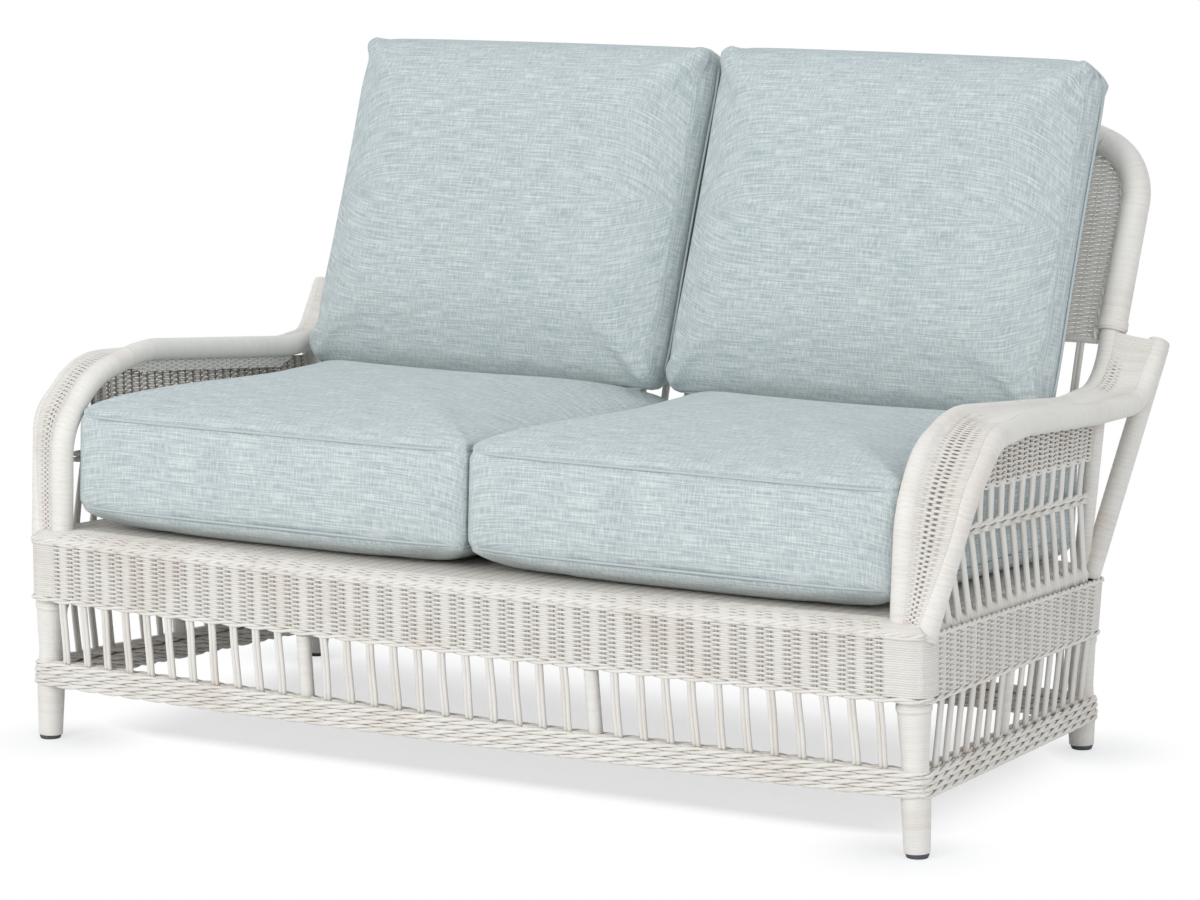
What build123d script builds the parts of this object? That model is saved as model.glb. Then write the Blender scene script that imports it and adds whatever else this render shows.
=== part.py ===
from build123d import *
import os
from math import hypot

# Woven patio loveseat: a seat frame of wrapped aluminium poles on four splayed legs, closed by
# woven panels and open spindle galleries, with scrolled arms of two rolls each, an arched back
# and four loose cushions. X runs across the seat, Y from front to back, Z up.
# Lengths are in millimetres. Y is measured from the line through the front feet until the last
# step, which puts the origin under the middle of the whole piece.

# Plan of the legs
front_half = 690.0            # front foot to the middle of the seat
rear_half = 652.0             # rear foot to the middle of the seat
leg_depth = 663.0             # front foot to rear foot
leg_lean = 11.0               # how far a leg leans inwards up to the seat line
front_bow = 25.0              # how far the front swells forwards in the middle

# Heights at the front and at the rear, where the whole seat is lower
seat_line = 288.0             # top of the front legs
rear_seat_line = 246.0        # top of the rear legs
rail_bottom_front = 80.0
rail_bottom_rear = 42.0
rail_height = 36.0
apron_bottom_front = 206.0
apron_bottom_rear = 168.0
apron_top_front = 298.0
apron_top_rear = 249.0
deck_top_front = 310.0
deck_top_rear = 277.0

# Clearances
seat_gap = 0.3                # between two pieces that bear on each other
overrun = 60.0                # how far cutting bodies run past what they cut

# Legs, feet and posts
glide_height = 12.0
glide_radius = 16.0
leg_foot_radius = 17.5
leg_rail_radius = 20.0
leg_waist_radius = 18.0
leg_head_radius = 22.5
leg_waist_height = 132.0
ring_height = 9.0
ring_proud = 1.6
ring_drop = 2.5               # binding ring of a leg under the apron
gallery_post_radius = 10.0
side_post_radius = 12.0
rake_post_radius = 15.0

# Bottom rail, a fat braided border
rail_outset = 25.0            # outer face of the rail, out from the leg axes
rail_width = 38.0
rail_round = 9.0

# Aprons, the woven skirts round the seat
apron_outset_low = 28.0
apron_outset_high = 31.0
apron_thickness = 5.0
apron_rear_flare = 12.0       # extra set-back of the top edge at the rear

# Spindles, pairs of reeds
spindle_width = 12.0
spindle_thickness = 6.0
spindle_pitch = 38.5
spindle_foot_outset = 12.0    # out from the leg line at the rail
spindle_head_outset = 24.0    # out from the leg line at the apron
post_foot_outset = 5.0
post_head_outset = 17.0
reed_gap = 0.6                # reed ends to what they stand between, on slightly sloping faces
post_bays = 3                 # bays between the thicker posts of the front and rear galleries
side_post_place = 8           # which reed of a side gallery is the thicker post

# Seat frame and deck
front_tube_radius = 16.0
seat_tube_radius = 14.0
side_tube_inset = 3.0         # side tube behind its apron, so that the reeds pass outside it
cross_tube_radius = 11.0
cross_tube_count = 3
deck_thickness = 5.0

# Arms, two wrapped rolls each; points of the right arm's centre lines
roll_radius = 16.0
inner_roll_points = [(662.5, 0.0, 288.3), (664.0, 8.0, 452.0), (658.0, 70.0, 522.0),
                     (650.0, 190.0, 550.0), (642.0, 582.0, 507.0), (645.0, 730.0, 513.0),
                     (645.0, 762.0, 594.0)]
inner_roll_bends = [100.0, 120.0, 250.0, 300.0, 90.0]
outer_roll_points = [(695.5, -2.0, 288.3), (728.0, 52.0, 466.0), (725.0, 140.0, 532.0),
                     (692.0, 330.0, 523.0), (681.5, 450.0, 511.0), (685.0, 600.0, 499.0),
                     (703.0, 722.0, 500.0), (709.0, 786.0, 580.0)]
outer_roll_bends = [70.0, 120.0, 400.0, 400.0, 300.0, 60.0]
web_thickness = 6.0
front_web_shares = [0.10, 0.16, 0.22, 0.28, 0.35, 0.45, 0.55, 0.66, 0.78]
wing_web_shares = [0.785, 0.85, 0.90, 0.95, 0.995]

# Side panels between the seat and the arms
side_top_height = 500.0       # height at which the side surface is measured under the arm
side_top_front_half = 676.0
side_top_rear_half = 664.0
side_post_depth = 668.0
side_panel_thickness = 6.0
side_band_height = 17.0
side_band_front = 403.0       # lower edge of the band at its front end
side_band_rear = 359.0
side_band_start = 22.0
fill_start = 96.0
fill_depths = [96.0, 150.0, 250.0, 430.0, 570.0, 650.0]
fill_tops = [484.0, 512.0, 508.0, 493.0, 481.0, 477.0]
fill_bottom_front = 462.0
fill_bottom_rear = 426.0

# Rear posts from the seat corner up to the end of the arm
rake_foot = (655.0, 670.0, 249.0)
rake_head = (711.0, 780.0, 574.0)

# Back, an arched pole round a woven panel, leaning back
back_foot_overhang = 99.0     # how far behind the rear feet the arch stands, at the level of the arm end
back_foot_depth = leg_depth + back_foot_overhang
back_foot_height = 594.0
back_rise = 314.0             # height of the arch over its foot
back_lean = 124.0             # how far the back leans over that height
arch_radius = 21.0
arch_foot_half = 645.0
arch_shoulder_half = 651.0
arch_shoulder_up = 258.0      # along the slope
arch_haunch_inset = 151.0     # how far inside the shoulder the haunch turns
arch_haunch_half = arch_shoulder_half - arch_haunch_inset
arch_haunch_up = 316.0
arch_crown_up = 337.0
arch_shoulder_bend = 92.0
arch_haunch_bend = 600.0
arch_split_half = 300.0
arch_foot_gap = 1.0           # arch foot over the end of the inner roll
back_panel_thickness = 8.0
back_panel_drop = 14.0        # lower edge of the woven panel under the arch foot
back_spindle_foot_half = 600.0

# Cushions
cushion_gap = 1.0             # half of the gap between the two cushions of a pair
seat_cushion_width = 643.5
seat_cushion_depth = 637.0
seat_cushion_front = 8.0
seat_crown_low = 28.0
seat_box_height = 138.0
seat_crown_high = 58.0
seat_corner = 12.0
back_cushion_width = 618.0
back_cushion_height = 538.0
back_cushion_thickness = 168.0
back_crown = 52.0
back_corner = 50.0
side_swell = 3.0
crown_inset = 190.0           # how far in from the edge a crown reaches its full height
low_crown_inset = 80.0        # the same under a seat cushion
crown_rise_shares = [0.0, 0.34, 0.62, 0.85, 1.0]
crown_inset_shares = [0.0, 0.07, 0.22, 0.52, 1.0]

os.makedirs("parts", exist_ok=True)

lean_share = leg_lean / seat_line
taper_share = (front_half - rear_half) / leg_depth


def along(front_value, rear_value, depth):
    """Value at a depth of something that runs straight from the front legs to the rear legs."""
    return front_value + (rear_value - front_value) * depth / leg_depth


def leg_half(depth, height):
    """Half width between the leg lines at a depth and height."""
    return front_half - taper_share * depth - lean_share * height


def bow(x):
    """Forward swell of the front at a distance from the middle."""
    return front_bow * (1 - (x / front_half) ** 2)


def mirrored(shape):
    return mirror(shape, about=Plane.YZ)


def pole(points, radius, bends=None):
    """A round pole along straight runs, with a bend at each inner point."""
    if bends:
        path = FilletPolyline(*points, radius=bends)
    else:
        path = Line(*points)
    start = Plane(origin=path @ 0, z_dir=path % 0)
    return sweep(start * Circle(radius), path=path)


def turned_pole(foot, head, stations):
    """A straight pole of changing radius; stations are pairs of height and radius."""
    run = Vector(*head) - Vector(*foot)
    faces = []
    for height, radius in stations:
        centre = Vector(*foot) + run * ((height - foot[2]) / run.Z)
        faces.append(Plane(origin=centre, z_dir=run) * Circle(radius))
    return loft(Sketch() + faces, ruled=True)


def reed_bar(foot, head, facing):
    """A spindle of two reeds side by side between two points, its flat side towards facing."""
    run = Vector(*head) - Vector(*foot)
    plane = Plane(origin=foot, x_dir=run.cross(Vector(*facing)), z_dir=run)
    return extrude(plane * SlotOverall(spindle_width, spindle_thickness), amount=run.length)


def strip(sections):
    """A thin sheet lofted through four-cornered sections."""
    faces = [make_face(Polyline(*corners, close=True)) for corners in sections]
    return loft(Sketch() + faces, ruled=True)


def leg_outline(outset, front_height, rear_height, rear_flare=0.0):
    """Outline round the four legs on the sloping plane between two heights."""
    front_x = leg_half(0, front_height)
    rear_x = leg_half(leg_depth, rear_height)
    rear_y = hypot(leg_depth, front_height - rear_height) + rear_flare
    bowed = ThreePointArc((-front_x, 0), (0, -front_bow), (front_x, 0))
    sides = Polyline((front_x, 0), (rear_x, rear_y), (-rear_x, rear_y), (-front_x, 0))
    flat = offset(make_face(bowed + sides), amount=outset, kind=Kind.ARC)
    slope = Plane(origin=(0, 0, front_height),
                  x_dir=(1, 0, 0),
                  z_dir=Vector(0, front_height - rear_height, leg_depth))
    return slope, slope * flat


def corner_plane(front, sign):
    """Upright plane that parts the front or rear piece of a ring from its side piece."""
    if front:
        return Plane(origin=(sign * front_half, 0, 0), z_dir=(sign, 1, 0))
    return Plane(origin=(sign * rear_half, leg_depth, 0), z_dir=(sign, -1, 0))


def part_ring(ring):
    """Front, right and rear pieces of a ring round the legs."""
    middle = Plane(origin=(0, leg_depth / 2, 0), z_dir=(0, 1, 0))
    front = split(ring, bisect_by=middle, keep=Keep.BOTTOM)
    rear = split(ring, bisect_by=middle, keep=Keep.TOP)
    for sign in (-1, 1):
        front = split(front, bisect_by=corner_plane(True, sign), keep=Keep.BOTTOM)
        rear = split(rear, bisect_by=corner_plane(False, sign), keep=Keep.BOTTOM)
    right = split(ring, bisect_by=corner_plane(True, 1), keep=Keep.TOP)
    right = split(right, bisect_by=corner_plane(False, 1), keep=Keep.TOP)
    right = split(right, bisect_by=Plane.YZ, keep=Keep.TOP)
    return front, right, rear


def leg_stations(extra, rail_bottom, waist, apron_bottom, top):
    """Radii of a leg up its height: foot, swelling at the rail, waist, head and binding ring."""
    ring_top = apron_bottom - ring_drop
    return [(glide_height - ring_height, leg_foot_radius + extra),
            (rail_bottom, leg_rail_radius + extra),
            (waist, leg_waist_radius + extra),
            (ring_top - ring_height, leg_head_radius + extra),
            (ring_top - ring_height, leg_head_radius + ring_proud + extra),
            (ring_top, leg_head_radius + ring_proud + extra),
            (ring_top, leg_head_radius + extra),
            (top + ring_height, leg_head_radius + extra)]


def make_leg(front, extra=0.0):
    """A right leg of the front or rear pair."""
    depth = 0.0 if front else leg_depth
    top = seat_line if front else rear_seat_line
    rail = rail_bottom_front if front else rail_bottom_rear
    apron = apron_bottom_front if front else apron_bottom_rear
    waist = leg_waist_height + (0.0 if front else rail - rail_bottom_front)
    stations = leg_stations(extra, rail, waist, apron, top)
    foot = (leg_half(depth, 0), depth, 0)
    head = (leg_half(depth, top), depth, top)
    pieces = []
    for lower, upper in zip(stations, stations[1:]):
        if upper[0] > lower[0]:
            pieces.append(turned_pole(foot, head, [lower, upper]))
    leg = pieces[0]
    for piece in pieces[1:]:
        leg = leg + piece
    leg = split(leg, bisect_by=Plane.XY.offset(glide_height), keep=Keep.TOP)
    return split(leg, bisect_by=Plane.XY.offset(top + extra), keep=Keep.BOTTOM)


def make_glide(front):
    """Plastic foot under a right leg, flat on the floor."""
    depth = 0.0 if front else leg_depth
    low = Plane(origin=(leg_half(depth, 0), depth, 0)) * Circle(glide_radius - ring_proud)
    mid = Plane(origin=(leg_half(depth, 0), depth, glide_height / 3)) * Circle(glide_radius)
    top_height = glide_height - seat_gap
    top = Plane(origin=(leg_half(depth, top_height), depth, top_height)) * Circle(glide_radius)
    return loft(Sketch() + [low, mid, top], ruled=True)


front_leg = make_leg(True)
rear_leg = make_leg(False)
leg_spaces = [make_leg(True, seat_gap), make_leg(False, seat_gap)]
leg_spaces += [mirrored(space) for space in leg_spaces]

# Rolls of the right arm, and the same rolls a little thicker for cutting what bears on them
inner_roll = pole(inner_roll_points, roll_radius, inner_roll_bends) - leg_spaces
outer_roll = pole(outer_roll_points, roll_radius, outer_roll_bends) - leg_spaces
inner_space = pole(inner_roll_points, roll_radius + seat_gap, inner_roll_bends)
outer_space = pole(outer_roll_points, roll_radius + seat_gap, outer_roll_bends)

# Raked rear post, from the seat corner to the end of the outer roll
rake_post = pole([rake_foot, rake_head], rake_post_radius) - outer_space - leg_spaces
rake_space = pole([rake_foot, rake_head], rake_post_radius + seat_gap)

roll_spaces = [inner_space, outer_space, rake_space]
roll_spaces += [mirrored(space) for space in roll_spaces]


# Bottom rail, one braided border parted at the legs
def make_rail_ring():
    slope, outer = leg_outline(rail_outset, rail_bottom_front, rail_bottom_rear)
    slope, inner = leg_outline(rail_outset - rail_width, rail_bottom_front, rail_bottom_rear)
    ring = extrude(outer, amount=rail_height)
    ring = fillet(ring.edges().filter_by(lambda edge: abs(edge.tangent_at(0.5).Z) < 0.5), radius=rail_round)
    return ring - extrude(inner, amount=rail_height)


def leg_at_rail(front):
    """A plain pole along a right leg, as thick as the leg is where the rail passes it."""
    depth = 0.0 if front else leg_depth
    top = rail_bottom_front + rail_height + overrun
    return pole([(leg_half(depth, 0), depth, 0), (leg_half(depth, top), depth, top)], leg_rail_radius + seat_gap)


rail_cuts = [leg_at_rail(True), leg_at_rail(False)]
rail_cuts += [mirrored(cut) for cut in rail_cuts]
rails = [rail - rail_cuts for rail in part_ring(make_rail_ring())]


# Aprons, flared a little towards the top and set back at the top of the rear
def make_apron_body(inward):
    low = leg_outline(apron_outset_low - inward, apron_bottom_front, apron_bottom_rear)[1]
    high = leg_outline(apron_outset_high - inward, apron_top_front, apron_top_rear, apron_rear_flare)[1]
    return loft(Sketch() + [low, high], ruled=True)


apron_ring = make_apron_body(0.0) - make_apron_body(apron_thickness)
aprons = [apron - roll_spaces for apron in part_ring(apron_ring)]


# Seat frame tubes, tucked inside the aprons under the deck
def apron_inner(height, low, high):
    """How far out of the leg line the inner face of an apron lies at a height."""
    share = (height - low) / (high - low)
    return apron_outset_low + (apron_outset_high - apron_outset_low) * share - apron_thickness


front_tube_height = deck_top_front - deck_thickness - seat_gap - front_tube_radius
front_tube_outset = apron_inner(front_tube_height, apron_bottom_front, apron_top_front)
front_tube_outset -= front_tube_radius + 3 * seat_gap
front_tube_end = leg_half(0, seat_line) - leg_head_radius - seat_gap
front_tube_arc = ThreePointArc((-front_tube_end, -front_tube_outset, front_tube_height),
                               (0, -front_tube_outset - front_bow, front_tube_height),
                               (front_tube_end, -front_tube_outset, front_tube_height))
front_tube_start = Plane(origin=front_tube_arc @ 0, z_dir=front_tube_arc % 0)
front_tube = sweep(front_tube_start * Circle(front_tube_radius), path=front_tube_arc) - leg_spaces - roll_spaces
front_tube_space = sweep(front_tube_start * Circle(front_tube_radius + seat_gap), path=front_tube_arc)

tube_front_height = deck_top_front - deck_thickness - seat_gap - seat_tube_radius
tube_rear_height = deck_top_rear - deck_thickness - seat_gap - seat_tube_radius


def tube_height(depth):
    return along(tube_front_height, tube_rear_height, depth)


side_tube_outset = apron_inner(tube_front_height, apron_bottom_front, apron_top_front)
side_tube_outset -= seat_tube_radius + side_tube_inset
side_tube_ends = [leg_head_radius + seat_gap, leg_depth - leg_head_radius - seat_gap]
side_tube = pole([(leg_half(depth, tube_height(depth)) + side_tube_outset, depth, tube_height(depth))
                  for depth in side_tube_ends], seat_tube_radius)
side_tube = side_tube - roll_spaces - leg_spaces
rear_tube_end = leg_half(leg_depth, rear_seat_line) - leg_head_radius - seat_gap
rear_tube = pole([(-rear_tube_end, leg_depth, tube_rear_height), (rear_tube_end, leg_depth, tube_rear_height)],
                 seat_tube_radius) - leg_spaces - roll_spaces

cross_drop = seat_tube_radius - cross_tube_radius
cross_front = -front_tube_outset
cross_rear = leg_depth - seat_tube_radius - seat_gap
cross_tubes = []
for place in range(1, cross_tube_count + 1):
    x = -front_half + 2 * front_half * place / (cross_tube_count + 1)
    start = cross_front - bow(x)
    ends = [(x, depth, tube_height(depth) + cross_drop) for depth in (start, cross_rear)]
    cross_tubes.append(pole(ends, cross_tube_radius) - front_tube_space)


# Deck, a woven sheet over the tubes, notched round the posts
def make_deck():
    front_y = -front_tube_outset
    notch_front = roll_radius + seat_gap * 4
    notch_rear = leg_depth - leg_head_radius - seat_tube_radius
    rear_y = leg_depth - seat_tube_radius / 2
    front_x = front_tube_end - roll_radius
    side_out = side_tube_outset
    edge = ThreePointArc((-front_x, front_y), (0, front_y - front_bow), (front_x, front_y))
    outline = Polyline((front_x, front_y),
                       (front_x, notch_front),
                       (leg_half(notch_front, seat_line) + side_out, notch_front),
                       (leg_half(notch_rear, seat_line) + side_out, notch_rear),
                       (rear_tube_end - side_post_radius, notch_rear),
                       (rear_tube_end - side_post_radius, rear_y),
                       (-rear_tube_end + side_post_radius, rear_y),
                       (-rear_tube_end + side_post_radius, notch_rear),
                       (-leg_half(notch_rear, seat_line) - side_out, notch_rear),
                       (-leg_half(notch_front, seat_line) - side_out, notch_front),
                       (-front_x, notch_front),
                       (-front_x, front_y))
    slope = Plane(origin=(0, 0, deck_top_front - deck_thickness),
                  x_dir=(1, 0, 0),
                  z_dir=Vector(0, deck_top_front - deck_top_rear, leg_depth))
    return extrude(slope * make_face(edge + outline), amount=deck_thickness)


deck = make_deck()


# Lower galleries between rail and aprons
def rail_top(depth):
    return along(rail_bottom_front, rail_bottom_rear, depth) + rail_height


def apron_foot(depth):
    return along(apron_bottom_front, apron_bottom_rear, depth)


def cross_gallery(front):
    """Reeds and thicker posts of the front or rear gallery."""
    half = front_half if front else rear_half
    count = post_bays * round(2 * half / spindle_pitch / post_bays)
    depth = 0.0 if front else leg_depth
    away = -1 if front else 1
    reeds = []
    posts = []
    for place in range(1, count):
        share = 2 * place / count - 1
        swell = bow(share * half) if front else 0.0
        is_post = place % (count // post_bays) == 0
        foot_y = depth + away * ((post_foot_outset if is_post else spindle_foot_outset) + swell)
        head_y = depth + away * ((post_head_outset if is_post else spindle_head_outset) + swell)
        half_thick = gallery_post_radius if is_post else spindle_thickness / 2
        tilt = abs(head_y - foot_y) / (apron_foot(depth) - rail_top(depth))
        low = rail_top(foot_y + away * half_thick) + reed_gap + half_thick * tilt
        high = apron_foot(head_y - away * half_thick) - reed_gap - half_thick * tilt
        foot = (share * leg_half(depth, low), foot_y, low)
        head = (share * leg_half(depth, high), head_y, high)
        if is_post:
            posts.append(pole([foot, head], gallery_post_radius))
        else:
            reeds.append(reed_bar(foot, head, (0, 1, 0)))
    return reeds, posts


front_reeds, front_posts = cross_gallery(True)
rear_reeds, rear_posts = cross_gallery(False)

side_count = round(leg_depth / spindle_pitch)
side_pitch = leg_depth / side_count
side_reeds = []
side_posts = []
for place in range(1, side_count):
    depth = place * side_pitch
    is_post = place == side_post_place
    foot_out = post_foot_outset if is_post else spindle_foot_outset
    head_out = post_head_outset if is_post else spindle_head_outset
    half_thick = gallery_post_radius if is_post else spindle_thickness / 2
    half_wide = gallery_post_radius if is_post else spindle_width / 2
    tilt = (head_out - foot_out) / (apron_foot(depth) - rail_top(depth))
    spare = reed_gap + hypot(half_thick * tilt, half_wide * (rail_bottom_front - rail_bottom_rear) / leg_depth)
    low = rail_top(depth) + spare
    high = apron_foot(depth) - spare
    foot = (leg_half(depth, low) + foot_out, depth, low)
    head = (leg_half(depth, high) + head_out, depth, high)
    if is_post:
        side_posts.append(pole([foot, head], gallery_post_radius))
    else:
        side_reeds.append(reed_bar(foot, head, (1, 0, 0)))


# Side panels between seat and arm: reeds, a narrow band, more reeds and a woven fill
def apron_top(depth):
    return along(apron_top_front, apron_top_rear, depth)


def side_half(depth, height):
    """Half width of the surface that rises from the side apron to the arm."""
    base_height = apron_top(depth)
    base = leg_half(depth, base_height)
    top = along(side_top_front_half, side_top_rear_half, depth)
    return base + (top - base) * (height - base_height) / (side_top_height - base_height)


def band_foot(depth):
    return along(side_band_front, side_band_rear, depth)


def fill_foot(depth):
    return along(fill_bottom_front, fill_bottom_rear, depth)


def side_section(depth, low, high):
    """Four corners of an upright slice through the side surface."""
    half = side_panel_thickness / 2
    low_x = side_half(depth, low)
    high_x = side_half(depth, high)
    return [(low_x - half, depth, low), (low_x + half, depth, low),
            (high_x + half, depth, high), (high_x - half, depth, high)]


side_post = pole([(side_half(side_post_depth, rear_seat_line), side_post_depth, rear_seat_line + seat_gap),
                  (side_half(side_post_depth, side_top_height), side_post_depth, side_top_height)],
                 side_post_radius)
side_post_space = pole([(side_half(side_post_depth, rear_seat_line), side_post_depth, rear_seat_line),
                        (side_half(side_post_depth, side_top_height), side_post_depth, side_top_height)],
                       side_post_radius + seat_gap)
side_post = side_post - roll_spaces - leg_spaces
band = strip([side_section(depth, band_foot(depth), band_foot(depth) + side_band_height)
              for depth in (side_band_start, side_post_depth)])
band = band - inner_space - outer_space - side_post_space
fill = strip([side_section(depth, fill_foot(depth), top)
              for depth, top in zip(fill_depths, fill_tops)])
fill = fill - inner_space - outer_space - side_post_space

mid_reeds = []
upper_reeds = []
for place in range(2, side_count):
    depth = place * side_pitch
    low = apron_top(depth) + reed_gap * 2
    high = band_foot(depth) - reed_gap * 2
    foot = (leg_half(depth, low) + apron_outset_high - spindle_thickness / 2, depth, low)
    head = (side_half(depth, high), depth, high)
    mid_reeds.append(reed_bar(foot, head, (1, 0, 0)))
    low = band_foot(depth) + side_band_height + reed_gap
    high = fill_foot(depth) - reed_gap
    if depth > fill_start:
        upper_reeds.append(reed_bar((side_half(depth, low), depth, low),
                                    (side_half(depth, high), depth, high), (1, 0, 0)))


# Webs between the two rolls of an arm: woven up the front and over the top, then the wing behind
def make_web(inner_path, outer_path, shares, thickness):
    sections = []
    for share in shares:
        inner = inner_path @ share
        outer = outer_path @ share
        across = (outer - inner).cross(inner_path % share).normalized() * (thickness / 2)
        sections.append([inner + across, outer + across, outer - across, inner - across])
    return strip(sections) - inner_space - outer_space - side_post_space


inner_path = FilletPolyline(*inner_roll_points, radius=inner_roll_bends)
outer_path = FilletPolyline(*outer_roll_points, radius=outer_roll_bends)
front_web = make_web(inner_path, outer_path, front_web_shares, web_thickness)
wing_web = make_web(inner_path, outer_path, wing_web_shares, web_thickness) - rake_space
band = band - make_web(inner_path, outer_path, front_web_shares, web_thickness + 2 * seat_gap)

# Back: the arch lies in a leaning plane through the ends of the inner rolls
back_plane = Plane(origin=(0, back_foot_depth, back_foot_height),
                   x_dir=(1, 0, 0),
                   z_dir=Vector(0, -back_rise, back_lean))


def on_back(x, up):
    """Point in the leaning plane of the back, up being measured along the slope."""
    point = back_plane.from_local_coords(Vector(x, up, 0))
    return (point.X, point.Y, point.Z)


def crown_at(x):
    """Height up the slope of the arch between haunch and crown."""
    share = 1 - x / arch_haunch_half
    return arch_haunch_up + (arch_crown_up - arch_haunch_up) * share


post_end = arch_split_half - arch_radius
top_end = arch_split_half + arch_radius
arch_points = [(arch_foot_half, arch_foot_gap), (arch_shoulder_half, arch_shoulder_up),
               (arch_haunch_half, arch_haunch_up), (post_end, crown_at(post_end))]
arch_bends = [arch_shoulder_bend, arch_haunch_bend]
top_path = ThreePointArc(on_back(top_end, crown_at(top_end)), on_back(0, arch_crown_up),
                         on_back(-top_end, crown_at(top_end)))


def arch_pieces(radius, gap):
    """Right half and top of the arch, parted upright with a gap."""
    post = pole([on_back(*point) for point in arch_points], radius, arch_bends)
    post = split(post, bisect_by=Plane(origin=(arch_split_half + gap, 0, 0), z_dir=(1, 0, 0)), keep=Keep.TOP)
    top = sweep(Plane(origin=top_path @ 0, z_dir=top_path % 0) * Circle(radius), path=top_path)
    top = split(top, bisect_by=Plane(origin=(arch_split_half, 0, 0), z_dir=(1, 0, 0)), keep=Keep.BOTTOM)
    top = split(top, bisect_by=Plane(origin=(-arch_split_half, 0, 0), z_dir=(1, 0, 0)), keep=Keep.TOP)
    return post, top


back_post, back_top = arch_pieces(arch_radius, seat_gap)
post_space, top_space = arch_pieces(arch_radius + seat_gap, 0.0)
arch_spaces = [post_space, mirrored(post_space), top_space]


# Woven panel inside the arch, and the reeds between it and the seat
panel_bottom = -back_panel_drop
panel_outline = Polyline((arch_foot_half - arch_radius - seat_gap * 2, panel_bottom),
                         (arch_foot_half - arch_radius / 2, arch_shoulder_up / 2),
                         (arch_shoulder_half - arch_radius, arch_shoulder_up - arch_shoulder_bend / 2),
                         (arch_haunch_half, arch_haunch_up - arch_radius / 2),
                         (0, arch_crown_up - arch_radius / 2),
                         (-arch_haunch_half, arch_haunch_up - arch_radius / 2),
                         (-arch_shoulder_half + arch_radius, arch_shoulder_up - arch_shoulder_bend / 2),
                         (-arch_foot_half + arch_radius / 2, arch_shoulder_up / 2),
                         (-arch_foot_half + arch_radius + seat_gap * 2, panel_bottom),
                         close=True)
back_panel = extrude(back_plane * make_face(panel_outline), amount=back_panel_thickness / 2, both=True)
back_panel = back_panel - arch_spaces - roll_spaces

back_reeds = []
back_count = round(2 * back_spindle_foot_half / spindle_pitch)
for place in range(back_count + 1):
    x = back_spindle_foot_half * (2 * place / back_count - 1)
    foot = (x, leg_depth, tube_rear_height + seat_tube_radius + reed_gap)
    head = Vector(*on_back(x, panel_bottom))
    run = (head - Vector(*foot)).normalized()
    head = head - run * (reed_gap + spindle_thickness / 2)
    back_reeds.append(reed_bar(foot, (head.X, head.Y, head.Z), (0, 1, 0)))


# Cushions
def pillow(plane, width, depth, low, low_inset, box, high, corner):
    """A boxed cushion with crowned faces: rounded outlines lofted up its thickness."""
    stations = []
    for rise, inset in zip(reversed(crown_rise_shares), reversed(crown_inset_shares)):
        stations.append((low * (1 - rise), inset * low_inset))
    stations.append((low + box / 2, -side_swell))
    for rise, inset in zip(crown_rise_shares, crown_inset_shares):
        stations.append((low + box + high * rise, inset * crown_inset))
    faces = []
    for height, inset in stations:
        outline = RectangleRounded(width - 2 * (side_swell + inset), depth - 2 * (side_swell + inset), corner)
        faces.append(plane.offset(height) * outline)
    return loft(Sketch() + faces, ruled=True)


def settle(moving, resting, direction):
    """Slide a piece along a direction until it is the seat gap away from what it comes down on."""
    travelled = 0.0
    placed = moving
    for _ in range(40):
        spare = min(placed.distance_to(piece) for piece in resting) - seat_gap
        if spare < seat_gap / 10:
            break
        travelled += spare
        placed = moving.moved(Location(direction * travelled))
    return placed


deck_slope = Plane(origin=(0, 0, deck_top_front),
                   x_dir=(1, 0, 0),
                   z_dir=Vector(0, deck_top_front - deck_top_rear, leg_depth))
seat_middle = Vector(cushion_gap + seat_cushion_width / 2, seat_cushion_front + seat_cushion_depth / 2, seat_gap)
seat_place = Plane(origin=deck_slope.from_local_coords(seat_middle), x_dir=(1, 0, 0), z_dir=deck_slope.z_dir)
seat_cushion = pillow(seat_place, seat_cushion_width, seat_cushion_depth,
                      seat_crown_low, low_crown_inset, seat_box_height, seat_crown_high, seat_corner)

back_front = arch_radius + seat_gap
back_middle = Vector(cushion_gap + back_cushion_width / 2, back_cushion_height / 2, back_front)
back_place = Plane(origin=back_plane.from_local_coords(back_middle), x_dir=(1, 0, 0), z_dir=back_plane.z_dir)
back_box = back_cushion_thickness - 2 * back_crown
back_cushion = pillow(back_place, back_cushion_width, back_cushion_height,
                      back_crown, crown_inset, back_box, back_crown, back_corner)
back_cushion = settle(back_cushion, [seat_cushion, inner_roll], back_plane.y_dir * -1)

# Every node, with the pieces that it holds; a right piece is mirrored to make its left twin
nodes = {
    "front_rail": [rails[0]], "rear_rail": [rails[2]],
    "front_apron": [aprons[0]], "rear_apron": [aprons[2]],
    "front_reeds": front_reeds, "rear_reeds": rear_reeds,
    "seat_front_tube": [front_tube], "seat_rear_tube": [rear_tube],
    "seat_cross_tubes": cross_tubes, "seat_deck": [deck],
    "back_top_rail": [back_top], "back_panel": [back_panel], "back_reeds": back_reeds,
    "front_gallery_posts": front_posts, "rear_gallery_posts": rear_posts,
}
pairs = {
    "front_leg": [front_leg], "rear_leg": [rear_leg],
    "front_glide": [make_glide(True)], "rear_glide": [make_glide(False)],
    "side_rail": [rails[1]], "side_apron": [aprons[1]], "side_reeds": side_reeds,
    "side_gallery_post": side_posts, "seat_side_tube": [side_tube],
    "arm_inner_roll": [inner_roll], "arm_outer_roll": [outer_roll],
    "arm_web": [front_web], "arm_wing": [wing_web],
    "arm_panel": [fill], "arm_band": [band],
    "arm_mid_reeds": mid_reeds, "arm_upper_reeds": upper_reeds,
    "arm_rear_post": [side_post], "rake_post": [rake_post], "back_post": [back_post],
    "seat_cushion": [seat_cushion], "back_cushion": [back_cushion],
}
for name, pieces in pairs.items():
    nodes[name + "_right"] = pieces
    nodes[name + "_left"] = [mirrored(piece) for piece in pieces]

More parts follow.
